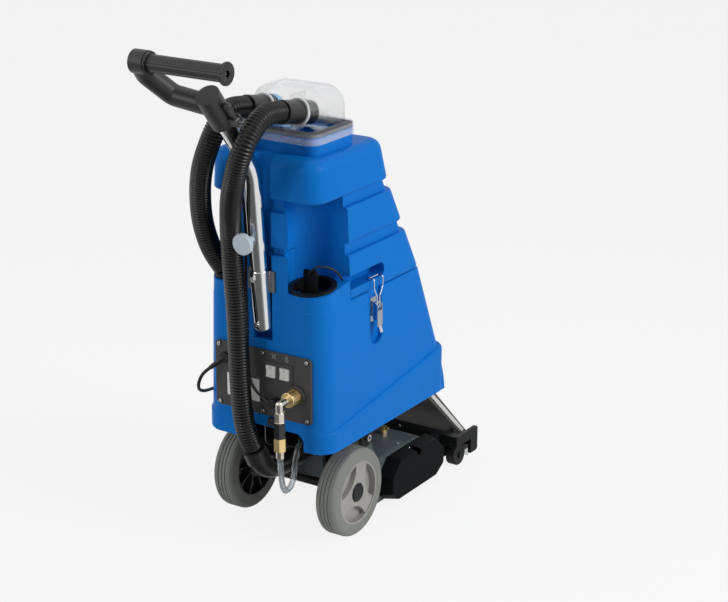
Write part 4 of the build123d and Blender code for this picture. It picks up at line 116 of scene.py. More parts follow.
print("middle grey in linear light", round(linear("#808080")[0], 3))

# %% [markdown]
# ## Moulded plastics and rubber
# Nearly all of this machine is moulded. A moulded skin has a fine grain from the tool, a slow drift of
# colour from the cooling, and a gloss that drifts with it. A painted picture could show them, but would need
# a map for every piece. All three come from noise instead, whose scale is worked out from a size in
# millimetres. Real tool grain is about a third of a millimetre, too fine to show at this distance, so it is
# drawn one to three millimetres wide.

# %% One recipe for moulded surfaces


def moulded(name, base, drift, rough, grain_mm=1.6, drift_mm=70, bump_mm=0.12, shine=0.4, spread=0.06):
    """A moulded surface: base colour drifting to another, grain as bump, gloss drifting with the colour."""
    material, tree, place = start(name)
    slow = add(tree, "ShaderNodeTexNoise", {"Scale": 1000 / drift_mm, "Detail": 4.0}, {"Vector": place})
    grain = add(tree, "ShaderNodeTexNoise", {"Scale": 1000 / grain_mm, "Detail": 3.0}, {"Vector": place})
    colour = add(tree, "ShaderNodeMix", {mix_first: linear(base), mix_second: linear(drift)},
                 {mix_share: slow.outputs[0]}, data_type="RGBA")
    gloss = add(tree, "ShaderNodeMapRange", {"To Min": rough - spread, "To Max": rough + spread},
                {"Value": slow.outputs[0]})
    bump = add(tree, "ShaderNodeBump", {"Strength": 0.5, "Distance": bump_mm / 1000},
               {"Height": grain.outputs[0]})
    skin = add(tree, "ShaderNodeBsdfPrincipled", {"IOR": 1.5, "Specular IOR Level": shine},
               {"Base Color": colour.outputs[mixed], "Roughness": gloss.outputs[0], "Normal": bump.outputs[0]})
    close(tree, skin)
    return material


# The tanks set while they turn in an oven: a satin, slightly uneven skin with hardly any mirror in it.
blue_shell = moulded("rotomoulded_polyethylene_blue", "#086dc3", "#0e73c9", 0.4, 2.4, 90, 0.1, 0.08)
# Grained tools make the panel and the handle look greyer than their pigment.
black_abs = moulded("textured_black_ABS", "#3e3e3f", "#464647", 0.48)
black_nylon = moulded("glass_filled_nylon_black", "#262725", "#323330", 0.42, 1.8, 40)
# A sheet drawn over a mould keeps an even, nearly black surface.
cover_black = moulded("vacuum_formed_ABS_black", "#0b0e0f", "#111516", 0.45, 2.2, 60, 0.1, 0.05)
# Soft hoses and cuffs are smooth, with narrow bright lines on black.
hose_black = moulded("ribbed_EVA_hose_black", "#0d0e0c", "#141512", 0.3, 2.0, 30, 0.05, 0.3)
cuff_black = moulded("soft_PVC_cuff_black", "#1d1e1c", "#262725", 0.4, 1.4, 30, 0.06)
# Rubber and filled polypropylene are matt and give little light back.
lead_black = moulded("rubber_sheathed_lead_black", "#161716", "#1f201f", 0.5, 1.2, 25, 0.05)
basket_black = moulded("polypropylene_black", "#101211", "#171918", 0.42, 1.6, 40, 0.08, 0.15)
roller_black = moulded("roller_rubber_black", "#131514", "#1b1d1c", 0.6, 1.8, 30)
# Foam has cut cells at its surface and next to no gloss.
foam_grey = moulded("closed_cell_foam_grey", "#73767a", "#7f8286", 0.85, 1.2, 20, 0.3)
# Small mouldings have clean colours and a soft sheen. The light grey on the shoe's sloping sides is a painted
# highlight.
pale_blue = moulded("polypropylene_pale_blue", "#8fc0e4", "#a3cdea", 0.4, 1.5, 30, 0.06)
white_rocker = moulded("polycarbonate_white", "#d9d8d2", "#e2e1dc", 0.28, 1.5, 20, 0.02)
green_rocker = moulded("polycarbonate_green", "#1e7440", "#268a4d", 0.25, 1.5, 20, 0.02)
peg_grey = moulded("painted_polypropylene_silver_grey", "#bac5cf", "#c5cfd8", 0.35, 1.5, 25, 0.04)
# Painted shade: the shoe's grey moulding is given the dark tone of its face turned away from the light.
shoe_painted_shade = moulded("moulded_ABS_grey_darkened_by_painted_shade", "#383533", "#433f3c", 0.45, 1.8, 50)
# Painted highlight: a light grey for the shoe's sloping sides, where the light falls on them.
shoe_highlight_grey = moulded("painted_highlight_light_grey", "#c2c2bc", "#cdcdc7", 0.4, 1.5, 40, 0.04)
# Bristles are drawn threads whose tone changes from tuft to tuft.
bristle_grey = moulded("nylon_bristle_graphite", "#4a4744", "#6a6661", 0.45, 3.0, 12, 0.02)
# Vinyl and ink lie on top as thin even films, and the collars keep the milky colour of the raw plastic.
label_white = moulded("vinyl_label_white", "#ecece8", "#f2f2ee", 0.4, 1.5, 25, 0.02)
mark_grey = moulded("printing_ink_grey", "#8b8d8e", "#989a9b", 0.5, 1.2, 12, 0.01)
collar_white = moulded("polypropylene_natural_white", "#c9cccd", "#d8dadb", 0.35, 1.5, 25, 0.03)
print("moulded finishes", len(bpy.data.materials))

# %% [markdown]
# ## Two tones on one piece
# The wheel's middle is one polypropylene moulding, light grey outside and blackened behind its web by a
# second moulding. The deck's cover plate is painted grey, and the raised bezel round its switch is black.
# Each could be cut in two, but the colours part at a plain distance along one axis, so one finish can look
# that distance up.

# %% Two-tone finishes


def two_tone(name, within, beyond, axis, step_mm, rough, grain_mm=2.0, drift_mm=40, bump_mm=0.1):
    """One pair of drifting colours up to a distance along an axis, either way, and another pair beyond it."""
    material, tree, place = start(name)
    apart = add(tree, "ShaderNodeSeparateXYZ", links={0: place})
    far = add(tree, "ShaderNodeMath", links={0: apart.outputs[axis]}, operation="ABSOLUTE")
    past = add(tree, "ShaderNodeMath", {1: step_mm / 1000}, {0: far.outputs[0]}, operation="GREATER_THAN")
    grain = add(tree, "ShaderNodeTexNoise", {"Scale": 1000 / grain_mm, "Detail": 3.0}, {"Vector": place})
    slow = add(tree, "ShaderNodeTexNoise", {"Scale": 1000 / drift_mm, "Detail": 3.0}, {"Vector": place})
    tones = [add(tree, "ShaderNodeMix", {mix_first: linear(base), mix_second: linear(drift)},
                 {mix_share: slow.outputs[0]}, data_type="RGBA") for base, drift in (within, beyond)]
    colour = add(tree, "ShaderNodeMix", links={mix_share: past.outputs[0], mix_first: tones[0].outputs[mixed],
                                               mix_second: tones[1].outputs[mixed]}, data_type="RGBA")
    bump = add(tree, "ShaderNodeBump", {"Strength": 0.4, "Distance": bump_mm / 1000},
               {"Height": grain.outputs[0]})
    skin = add(tree, "ShaderNodeBsdfPrincipled", {"IOR": 1.49, "Roughness": rough, "Specular IOR Level": 0.35},
               {"Base Color": colour.outputs[mixed], "Normal": bump.outputs[0]})
    close(tree, skin)
    return material


wheel_grey = two_tone("polypropylene_wheel_centre", ("#1b1c1b", "#222322"), ("#92908a", "#a3a19a"),
                      "X", 136.0, 0.45)
bezel_plate = two_tone("powder_coated_plate_with_black_bezel", ("#4a5356", "#566063"), ("#161817", "#1e201f"),
                       "Z", 127.2, 0.36)
print("two tones", wheel_grey.name, bezel_plate.name)

# %% [markdown]
# ## Tyres and grip
# Both are soft mouldings with a pattern cut in the tool. The tyre carries shallow rings side by side round
# its tread, and the grip has flats that run along it. They could be cut in the mesh, but are under a
# millimetre deep. So the rings follow the distance from the wheel's middle plane and the flats follow the
# angle round the grip, each as a wave that lifts the surface.

# %% Patterned mouldings
ring_pitch = 0.007
grip_axis, grip_flats = (-0.3399, 1.0803), 14


def waved(name, base, drift, rough, pick, lift_mm, drift_mm=35):
    """A soft moulding lifted by a wave; pick makes the wave's phase from the coordinates."""
    material, tree, place = start(name)
    apart = add(tree, "ShaderNodeSeparateXYZ", links={0: place})
    wave = add(tree, "ShaderNodeMath", links={0: pick(tree, apart)}, operation="SINE")
    slow = add(tree, "ShaderNodeTexNoise", {"Scale": 1000 / drift_mm, "Detail": 4.0}, {"Vector": place})
    colour = add(tree, "ShaderNodeMix", {mix_first: linear(base), mix_second: linear(drift)},
                 {mix_share: slow.outputs[0]}, data_type="RGBA")
    bump = add(tree, "ShaderNodeBump", {"Strength": 0.6, "Distance": lift_mm / 1000},
               {"Height": wave.outputs[0]})
    close(tree, add(tree, "ShaderNodeBsdfPrincipled", {"IOR": 1.5, "Roughness": rough},
                    {"Base Color": colour.outputs[mixed], "Normal": bump.outputs[0]}))
    return material


def across(tree, apart):
    """Phase of rings side by side along X."""
    return add(tree, "ShaderNodeMath", {1: 2 * math.pi / ring_pitch}, {0: apart.outputs["X"]},
               operation="MULTIPLY").outputs[0]


def around(tree, apart):
    """Phase of flats round the grip's axis."""
    back = add(tree, "ShaderNodeMath", {1: grip_axis[0]}, {0: apart.outputs["Y"]}, operation="SUBTRACT")
    up = add(tree, "ShaderNodeMath", {1: grip_axis[1]}, {0: apart.outputs["Z"]}, operation="SUBTRACT")
    angle = add(tree, "ShaderNodeMath", links={0: up.outputs[0], 1: back.outputs[0]}, operation="ARCTAN2")
    return add(tree, "ShaderNodeMath", {1: grip_flats}, {0: angle.outputs[0]}, operation="MULTIPLY").outputs[0]


tyre_grey = waved("non_marking_rubber_grey", "#73756f", "#82857f", 0.72, across, 0.3)
grip_black = waved("soft_grip_rubber_black", "#121312", "#191a19", 0.45, around, 0.5)
print("patterned", tyre_grey.name, grip_black.name)

# %% [markdown]
# ## Painted steel
# Folded sheet and welded frames are powder coated. Powder melts into a skin with a faint orange peel about
# two and a half millimetres across, which breaks the reflection up, and it is thinner and shinier in places.
# Smooth cells give the peel its rounded bumps, which plain noise would not.

# %% Powder coats


def powder_coat(name, base, drift, rough, peel_mm=2.5, drift_mm=55, bump_mm=0.12, spread=0.07):
    """Powder paint: orange peel as bump, over a slow change of tone."""
    material, tree, place = start(name)
    peel = add(tree, "ShaderNodeTexVoronoi", {"Scale": 1000 / peel_mm}, {"Vector": place}, feature="SMOOTH_F1")
    slow = add(tree, "ShaderNodeTexNoise", {"Scale": 1000 / drift_mm, "Detail": 5.0}, {"Vector": place})
    colour = add(tree, "ShaderNodeMix", {mix_first: linear(base), mix_second: linear(drift)},
                 {mix_share: slow.outputs[0]}, data_type="RGBA")
    gloss = add(tree, "ShaderNodeMapRange", {"To Min": rough - spread, "To Max": rough + spread},
                {"Value": slow.outputs[0]})
    bump = add(tree, "ShaderNodeBump", {"Strength": 0.35, "Distance": bump_mm / 1000},
               {"Height": peel.outputs[0]})
    skin = add(tree, "ShaderNodeBsdfPrincipled", {"IOR": 1.5, "Specular IOR Level": 0.2},
               {"Base Color": colour.outputs[mixed], "Roughness": gloss.outputs[0], "Normal": bump.outputs[0]})
    close(tree, skin)
    return material


black_steel = powder_coat("powder_coated_steel_black", "#121314", "#191b1c", 0.42)
deck_grey = powder_coat("powder_coated_sheet_dark_grey", "#4a5356", "#566063", 0.36)
plate_grey = powder_coat("powder_coated_plate_grey", "#8f9496", "#a0a5a7", 0.38)
motor_grey = powder_coat("painted_cast_aluminium_grey", "#4c5052", "#5a5e60", 0.5)
print("paints", black_steel.name, deck_grey.name, plate_grey.name, motor_grey.name)

# %% [markdown]
# ## Bare metals
# The tube is chromed, the latches are pressed stainless steel, and the water fittings are turned brass,
# plain or nickel plated. A metal takes its look from its reflection, so each has its tint and how far its
# surface spreads the light. Fine scratches run one way where a tool or a belt left them, and noise that is
# squeezed along one axis draws them.

# %% Metals


def bare_metal(name, tint, rough, stretch, line_mm=1.2, bump_mm=0.02):
    """A metal with fine lines: stretch squeezes the noise along an axis, so that the lines run along it."""
    material, tree, place = start(name)
    pulled = add(tree, "ShaderNodeMapping", {"Scale": stretch}, {"Vector": place})
    lines = add(tree, "ShaderNodeTexNoise", {"Scale": 1000 / line_mm, "Detail": 4.0},
                {"Vector": pulled.outputs[0]})
    gloss = add(tree, "ShaderNodeMapRange", {"To Min": rough * 0.7, "To Max": rough * 1.3},
                {"Value": lines.outputs[0]})
    bump = add(tree, "ShaderNodeBump", {"Strength": 0.3, "Distance": bump_mm / 1000},
               {"Height": lines.outputs[0]})
    close(tree, add(tree, "ShaderNodeBsdfPrincipled", {"Base Color": linear(tint), "Metallic": 1.0},
                    {"Roughness": gloss.outputs[0], "Normal": bump.outputs[0]}))
    return material


chrome = bare_metal("chromium_plated_steel", "#d9dadb", 0.07, (1, 1, 0.05), 1.5, 0.004)
stainless = bare_metal("pressed_stainless_steel", "#d3dae1", 0.24, (1, 1, 0.04), 1.0)
zinc = bare_metal("bright_zinc_plated_steel", "#c4c5c3", 0.22, (1, 1, 1), 1.2, 0.01)
brass = bare_metal("turned_brass", "#e6ca90", 0.34, (1, 0.08, 1), 1.2, 0.03)
steel = bare_metal("turned_steel", "#8f9293", 0.32, (0.05, 1, 1), 1.2)
print("metals", chrome.name, stainless.name, zinc.name, brass.name, steel.name)

# %% [markdown]
# Two pieces are of two metals or finishes. The stack of water fittings is nickel plated, with a black sleeve
# nut half way up. The sleeve at the foot of the tube is chromed, and its ears are dull and spangled from hot
# dip galvanising. Each could be two pieces, but a height or a distance from the middle tells them apart.

# %% Metals with two finishes


def fitting_stack(name, low_mm, high_mm, wear_mm=3.0):
    """Nickel plated brass, with the black sleeve nut between two heights."""
    material, tree, place = start(name)
    height = add(tree, "ShaderNodeSeparateXYZ", links={0: place}).outputs["Z"]
    over = add(tree, "ShaderNodeMath", {1: low_mm / 1000}, {0: height}, operation="GREATER_THAN")
    under = add(tree, "ShaderNodeMath", {1: high_mm / 1000}, {0: height}, operation="LESS_THAN")
    sleeve = add(tree, "ShaderNodeMath", links={0: over.outputs[0], 1: under.outputs[0]}, operation="MULTIPLY")
    worn = add(tree, "ShaderNodeTexNoise", {"Scale": 1000 / wear_mm, "Detail": 4.0}, {"Vector": place})
    gloss = add(tree, "ShaderNodeMapRange", {"To Min": 0.1, "To Max": 0.26}, {"Value": worn.outputs[0]})
    nickel = add(tree, "ShaderNodeBsdfPrincipled", {"Base Color": linear("#cfc8bd"), "Metallic": 1.0},
                 {"Roughness": gloss.outputs[0]})
    dark = add(tree, "ShaderNodeBsdfPrincipled",
               {"Base Color": linear("#1f2024"), "Roughness": 0.16, "IOR": 1.5})
    close(tree, add(tree, "ShaderNodeMixShader",
                    links={0: sleeve.outputs[0], 1: nickel.outputs[0], 2: dark.outputs[0]}))
    return material


def sleeved(name, reach_mm, flake_mm=5.0):
    """Chromed round the tube, dull galvanised further out to the sides."""
    material, tree, place = start(name)
    apart = add(tree, "ShaderNodeSeparateXYZ", links={0: place})
    off = add(tree, "ShaderNodeMath", links={0: apart.outputs["X"]}, operation="ABSOLUTE")
    ear = add(tree, "ShaderNodeMath", {1: reach_mm / 1000}, {0: off.outputs[0]}, operation="GREATER_THAN")
    flake = add(tree, "ShaderNodeTexVoronoi", {"Scale": 1000 / flake_mm}, {"Vector": place})
    tone = add(tree, "ShaderNodeMix", {mix_first: linear("#8d8f90"), mix_second: linear("#7b7e80")},
               {mix_share: flake.outputs[0]}, data_type="RGBA")
    tint = add(tree, "ShaderNodeMix", {mix_first: linear("#d9dadb")},
               {mix_share: ear.outputs[0], mix_second: tone.outputs[mixed]}, data_type="RGBA")
    gloss = add(tree, "ShaderNodeMapRange", {"To Min": 0.06, "To Max": 0.45}, {"Value": ear.outputs[0]})
    close(tree, add(tree, "ShaderNodeBsdfPrincipled", {"Metallic": 1.0},
                    {"Base Color": tint.outputs[mixed], "Roughness": gloss.outputs[0]}))
    return material


sleeve_chrome = sleeved("chromed_sleeve_with_galvanised_ears", 22.0)
nickel_stack = fitting_stack("nickel_plated_brass_with_black_nut", 279.0, 315.0)
print("metals with two finishes", sleeve_chrome.name, nickel_stack.name)

# %% [markdown]
# ## Clear plastics
# The lid is blow moulded in clear polycarbonate, the lip of the shoe and the hose are softer and cloudier.
# A clear wall lets the light through and shows itself by its reflections and its edges, so the shader is
# nearly all transmission, with a faint haze in the roughness from the mould. The lid's skirt is thicker and
# cloudier than its dome, so below a height the lid lets less through.

# %% Clear plastics
skirt_body, skirt_clearness, skirt_fade = 0.44, 0.6, 0.002


def clear_plastic(name, tint, rough, ior, body, skirt_mm=None, haze_mm=45):
    """A clear wall with a slight unevenness in its gloss; body is how much of it stops the straight light."""
    material, tree, place = start(name)
    haze = add(tree, "ShaderNodeTexNoise", {"Scale": 1000 / haze_mm, "Detail": 3.0}, {"Vector": place})
    gloss = add(tree, "ShaderNodeMapRange", {"To Min": rough * 0.6, "To Max": rough * 1.4},
                {"Value": haze.outputs[0]})
    wave = add(tree, "ShaderNodeBump", {"Strength": 0.15, "Distance": 0.0004}, {"Height": haze.outputs[0]})
    wall = add(tree, "ShaderNodeBsdfPrincipled",
               {"Base Color": linear(tint), "Transmission Weight": 1.0, "IOR": ior, "Alpha": body},
               {"Roughness": gloss.outputs[0], "Normal": wave.outputs[0]})
    if skirt_mm:
        height = add(tree, "ShaderNodeSeparateXYZ", links={0: place}).outputs["Z"]
        top = skirt_mm / 1000
        for socket, low, high in (("Alpha", skirt_body, body), ("Transmission Weight", skirt_clearness, 1.0)):
            step = add(tree, "ShaderNodeMapRange", {"From Min": top - skirt_fade, "From Max": top,
                                                    "To Min": low, "To Max": high}, {"Value": height})
            tree.links.new(step.outputs[0], wall.inputs[socket])
    close(tree, wall)
    return material


clear_lid = clear_plastic("clear_polycarbonate", "#fbfcfd", 0.05, 1.25, 0.28, 900.0)
clear_hose = clear_plastic("clear_PVC_hose", "#e3ecf2", 0.12, 1.33, 0.6)
clear_lip = clear_plastic("clear_polyurethane_lip", "#dfe3e4", 0.2, 1.35, 0.6)
print("clear", clear_lid.name, clear_hose.name, clear_lip.name)

# %% [markdown]
# ## Finishes on the solids
# Every solid that stays on show gets the finish of the real piece in place of its plain colour. One table
# from finish to pieces shows at a glance what is made of the same stuff.

# %% Give each solid its finish
finish_of = {
    blue_shell: ["solution_tank", "recovery_tank"],
    clear_lid: ["dome_lid"],
    clear_lip: ["shoe_lip"],
    foam_grey: ["lid_gasket"],
    pale_blue: ["float_cage"],
    cuff_black: ["hose_cuffs", "suction_pipe"],
    black_abs: ["control_panel", "switch_frame"],
    basket_black: ["filler_basket"],
    black_nylon: ["handle_arm", "clamp_lever"],
    grip_black: ["handle_grip"],
    sleeve_chrome: ["tube_sleeve"],
    cover_black: ["belt_cover"],
    lead_black: ["cable_boots", "mains_plug", "drive_belt"],
    white_rocker: ["rocker_vacuum", "rocker_pump"],
    green_rocker: ["deck_rocker"],
    peg_grey: ["cord_peg"],
    tyre_grey: ["tyre_left", "tyre_right"],
    wheel_grey: ["hub_left", "hub_right"],
    roller_black: ["shoe_roller_left", "shoe_roller_right"],
    chrome: ["handle_tube"],
    zinc: ["fasteners", "flange_bearing"],
    brass: ["brass_fittings", "spray_fittings"],
    nickel_stack: ["nickel_fittings"],
    stainless: ["latch_bases", "latch_lever_left", "latch_lever_right", "latch_bail_left", "latch_bail_right"],
    steel: ["brush_roller", "motor_pulley"],
    black_steel: ["axle", "chassis_frame", "shoe_frame"],
    deck_grey: ["deck_housing"],
    bezel_plate: ["deck_cover"],
    plate_grey: ["brush_end_plate"],
    motor_grey: ["brush_motor", "vacuum_motor", "pump"],
    # The shoe body's dark tone is painted shade.
    shoe_painted_shade: ["shoe_body"],
}


def dress(piece, material):
    """Puts one material on a piece."""
    piece.data.materials.clear()
    piece.data.materials.append(material)
    return piece


for material, names in finish_of.items():
    for name in names:
        dress(node[name], material)
print("dressed", sum(len(names) for names in finish_of.values()), "solids")

# %% [markdown]
# ## Leads
# A lead is a fixed length of something limp. It could be a mesh tube, but a curve with a round section stays
# smooth and knows its own length. Its line is a spline whose control points are those of the solid's route.

# %% Curves for round leads
spline_order, spline_steps, section_steps = 3, 10, 4


def line_of(name, points_mm):
    """A smooth open line through the neighbourhood of its control points, given in millimetres."""
    data = bpy.data.curves.new(name, "CURVE")
    data.dimensions = "3D"
    spline = data.splines.new("NURBS")
    spline.points.add(len(points_mm) - 1)
    for point, place in zip(spline.points, points_mm):
        point.co = [c / 1000 for c in place] + [1.0]
    spline.order_u = spline_order
    spline.use_endpoint_u = True
    spline.resolution_u = spline_steps
    line = bpy.data.objects.new(name, data)
    bpy.context.scene.collection.objects.link(line)
    return line


def round_lead(name, points_mm, diameter_mm, material):
    """A line with a round section."""
    lead = line_of(name, points_mm)
    lead.data.bevel_depth = diameter_mm / 2000
    lead.data.bevel_resolution = section_steps
    lead.data.use_fill_caps = True
    return dress(lead, material)


print("lead splines of order", spline_order, "with", spline_steps, "steps a span")

# %% [markdown]
# The mains lead leaves its boot on the panel, goes round the tank's left side to the floor, and ends in a
# wound coil and a plug. The coil winds in and out again, a layer higher each time, so its length lies in its
# turns. A spline of this kind runs inside its control points, by about a fiftieth of the radius at sixteen
# points a turn, and the points are set out by that much.

# %% Mains lead with its coil
coil_centre = (-258.0, 206.0)
coil_inner, coil_step, coil_turns, coil_layers = 36.0, 8.2, 4, 4
coil_low, coil_rise, climb_turns = 4.25, 8.2, 0.5
points_a_turn = 16
set_out = 1 / (0.75 + 0.25 * math.cos(2 * math.pi / points_a_turn))


def coil_place(turns):
    """One point of the coil, counted in turns from its start."""
    share = turns / coil_turns
    layer = round(share)
    inward = abs(share - 2 * round(share / 2)) * coil_turns
    climbed = min(max(0.5 + (turns - layer * coil_turns) / climb_turns, 0), 1)
    level = min(max(layer - 1 + climbed * climbed * (3 - 2 * climbed), 0), coil_layers - 1)
    radius = (coil_inner + coil_step * (coil_turns - inward)) * set_out
    angle = 2 * math.pi * turns
    return (coil_centre[0] + radius * math.cos(angle), coil_centre[1] + radius * math.sin(angle),
            coil_low + coil_rise * level)


mains_points = [
    (-122, -150, 380), (-130, -158, 372.32), (-136.8, -162.5, 361.5), (-144.5, -163, 342), (-154, -149, 323),
    (-163, -122, 309), (-170, -93, 301), (-176.5, -62, 295), (-182.5, -32, 287), (-187, -4, 272),
    (-190.5, 20, 250), (-193, 38, 222), (-195, 52, 190), (-196.5, 63, 155), (-197.5, 73, 118),
    (-197.5, 83, 82), (-196, 97, 48), (-192.5, 120, 19), (-188.3, 154.5, 4.25), (-188.6, 190, 4.25)]
mains_points += [coil_place(k / points_a_turn) for k in range(coil_turns * coil_layers * points_a_turn + 1)]
mains_points += [(-188, 226, 28), (-184, 246, 26), (-179, 268, 19), (-178, 289, 14.5), (-178, 310, 14.5)]
mains = round_lead("mains_lead_line", mains_points, 7.5, lead_black)
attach(mains, "chassis")
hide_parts("mains_lead", "mains_coil")
print("mains lead points", len(mains_points))

# %% [markdown]
# The control lead runs from a gland high on the handle tube down to its plug on the panel. Only its ends hold
# it, so it hangs beside the tube with a little slack, and its points stand a little off the tube.

# %% Control lead along the tube
control = round_lead("control_lead_line", [
    (-25, -212, 926), (-26, -193, 899), (-24.5, -174, 862), (-23, -161, 818), (-22.5, -151, 770),
    (-24, -143, 722), (-28, -137, 676), (-32, -134, 630), (-33.5, -133.5, 580), (-31.5, -134, 530),
    (-29.5, -135, 480), (-30, -136, 432), (-29.5, -137, 394), (-21, -138.5, 364), (-6, -140, 346),
    (12, -141, 336)], 6.0, lead_black)
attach(control, "chassis")
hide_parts("control_lead")
print("control lead points", len(control.data.splines[0].points))

# %% [markdown]
# A short stiff tether keeps the filler basket from being lost. It springs up from the basket's tab in one arch
# and comes down on the pocket's floor, and it lifts with the basket.

# %% Tether of the filler basket
tether = round_lead("filler_tether_line", [
    (84, -73, 605), (93, -74, 617), (104.5, -73.5, 625.5), (116.5, -66, 628), (127, -54, 623.5),
    (133.5, -41.5, 613.5), (136, -29.5, 600), (134.5, -19, 588.6)], 4.5, lead_black)
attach(tether, "filler")
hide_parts("filler_tether")
print("tether points", len(tether.data.splines[0].points))

# %% [markdown]
# ## Hoses
# A ribbed hose is a thin wall folded into rings. A bevelled curve would give a smooth tube, with ribs only as
# bump. So the spline is read back as a row of points, and circles are set square to that line: narrow in the
# valleys and wide on the ribs. Bridging one circle to the next makes the wall, and going back down the inside
# makes the bore.

# %% Circles along a line


def read_line(name, points_mm):
    """Points of a smooth line, close together."""
    line = line_of(name, points_mm)
    mesh = bpy.data.meshes.new_from_object(line)
    points = [v.co.copy() for v in mesh.vertices]
    bpy.data.objects.remove(line)
    return points


def reaches(points):
    """How far along a line each of its points lies."""
    reach = [0.0]
    for a, b in zip(points, points[1:]):
        reach.append(reach[-1] + (b - a).length)
    return reach


def edges_of(verts):
    """The edges at some vertices, each of them once and always in the same order."""
    return list(dict.fromkeys(edge for vert in verts for edge in vert.link_edges))


def ringed_wall(name, points, stations, segments, material):
    """A wall through circles along a line; a station is a distance and a radius in metres."""
    reach = reaches(points)
    bm = bmesh.new()
    side = Vector((1, 0, 0))
    rings = []
    for distance, radius in stations:
        k = max(i for i in range(len(points) - 1) if reach[i] <= distance or i == 0)
        along = (points[k + 1] - points[k]).normalized()
        beyond = (points[k + 2] - points[k + 1]).normalized() if k + 2 < len(points) else along
        spot = points[k] + along * (distance - reach[k])
        share = (distance - reach[k]) / (reach[k + 1] - reach[k])
        heading = along.lerp(beyond, share * 0.5).normalized()
        side = (side - heading * side.dot(heading)).normalized()
        square = Matrix((side, heading.cross(side), heading)).transposed().to_4x4()
        made = bmesh.ops.create_circle(bm, segments=segments, radius=radius,
                                       matrix=Matrix.Translation(spot) @ square)
        rings.append(edges_of(made["verts"]))
    for a, b in zip(rings, rings[1:] + rings[:1]):
        bmesh.ops.bridge_loops(bm, edges=a + b)
    bmesh.ops.recalc_face_normals(bm, faces=bm.faces)
    for face in bm.faces:
        face.smooth = True
    mesh = bpy.data.meshes.new(name)
    bm.to_mesh(mesh)
    bm.free()
    piece = bpy.data.objects.new(name, mesh)
    bpy.context.scene.collection.objects.link(piece)
    return dress(piece, material)


print("a straight test line measures", reaches([Vector((0, 0, 0)), Vector((0, 0, 1))])[-1], "m")

# %% [markdown]
# The two vacuum hoses are the same stock, 46 mm over the ribs, with a rib every 6.6 mm. The right one hangs
# from the lid, swings across the tube and drops to the elbow. The left one goes down into the corner pocket.

# %% Ribbed vacuum hoses
rib_pitch, rib_depth, hose_radius, bore_radius = 0.0066, 0.0025, 0.023, 0.018
rib_shape = [(0.05, rib_depth), (0.2, 0.0004), (0.4, 0.0), (0.6, 0.0004), (0.75, rib_depth)]
hose_segments = 28


def vacuum_hose(name, points_mm, replaced):
    """One ribbed hose, its ribs spread evenly between two plain ends."""
    points = read_line(name, points_mm)
    whole = reaches(points)[-1]
    ribs = int((whole - rib_pitch) / rib_pitch)
    first = (whole - ribs * rib_pitch) / 2
    valley = hose_radius - rib_depth
    stations = [(0.0, valley)]
    for k in range(ribs):
        root = first + k * rib_pitch
        stations += [(root + share * rib_pitch, hose_radius - dip) for share, dip in rib_shape]
    stations += [(whole, valley)] + [(whole * k / ribs, bore_radius) for k in range(ribs, -1, -1)]
    hose = ringed_wall(name, points, stations, hose_segments, hose_black)
    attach(hose, "chassis")
    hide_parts(replaced)
    print(name, "ribs", ribs, "length", round(whole, 3))


vacuum_hose("vacuum_hose_right_wall", [
    (44, -105.86, 954.83), (44, -151.01, 963.61), (47, -197, 949), (44, -227, 917), (28, -231, 878),
    (9, -223, 832), (-18, -200, 779), (-39, -174, 723), (-47, -162.5, 669), (-44, -161, 613),
    (-37, -163.5, 554), (-32, -166.5, 496), (-29.5, -168, 442), (-28.5, -168, 386), (-27, -166, 332),
    (-25, -162, 285), (-22, -152, 245), (-19, -137, 213)],
    "vacuum_hose_right")
vacuum_hose("vacuum_hose_left_wall", [
    (-44, -105.86, 954.83), (-44, -151.01, 963.61), (-49, -176, 953), (-58, -190, 927), (-72, -196, 891),
    (-93, -191, 848), (-110, -180, 804), (-121, -168, 760), (-128, -155, 715), (-130, -138, 670),
    (-127, -117, 625), (-118, -96, 593)],
    "vacuum_hose_left")

# %% [markdown]
# The solution hose is plain clear tube, 13 mm outside and 9 mm inside. It drops from its ferrule, turns back
# under the tank and climbs into the bay. It has a real bore too, because a clear tube shows both its walls.

# %% Clear solution hose
water_radius, water_bore, water_steps, water_segments = 0.0065, 0.0045, 70, 20
water_points = read_line("solution_hose_line", [
    (88, -188, 250), (88, -188, 150), (87.6, -143, 150), (86, -131, 206), (84.5, -118, 230), (83.5, -101, 250),
    (83, -88, 274)])
water_length = reaches(water_points)[-1]
outside = [(water_length * k / water_steps, water_radius) for k in range(water_steps + 1)]
inside = [(water_length * k / water_steps, water_bore) for k in range(water_steps, -1, -1)]
water_hose = ringed_wall("solution_hose_wall", water_points, outside + inside, water_segments, clear_hose)
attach(water_hose, "chassis")
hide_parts("solution_hose")
print("solution hose length", round(water_length, 3))

# %% [markdown]
# ## Small fittings
# The last pieces are small: brush tufts, screws, washers, collars, a label and printed signs. They are turned,
# cut or pressed, so each is a profile spun round an axis, or a block with its edges broken.

# %% Finishing a small piece
sharp_angle = math.radians(35)


def keep(name, bm, material, body):
    """Turns work in progress into a finished piece on its body."""
    bmesh.ops.recalc_face_normals(bm, faces=bm.faces)
    mesh = bpy.data.meshes.new(name)
    bm.to_mesh(mesh)
    bm.free()
    for face in mesh.polygons:
        face.use_smooth = True
    mesh.set_sharp_from_angle(angle=sharp_angle)
    piece = bpy.data.objects.new(name, mesh)
    bpy.context.scene.collection.objects.link(piece)
    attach(piece, body)
    print(name, "faces", len(mesh.polygons))
    return dress(piece, material)


print("edges over", round(math.degrees(sharp_angle)), "degrees stay sharp")

# %% Turned shapes, cut blocks and where they sit
merge_gap = 1e-6


def facing(place_mm, axis):
    """A place whose own Z points along an axis."""
    turned = Vector(axis).to_track_quat("Z", "Y").to_matrix().to_4x4()
    return Matrix.Translation(Vector(place_mm) / 1000) @ turned


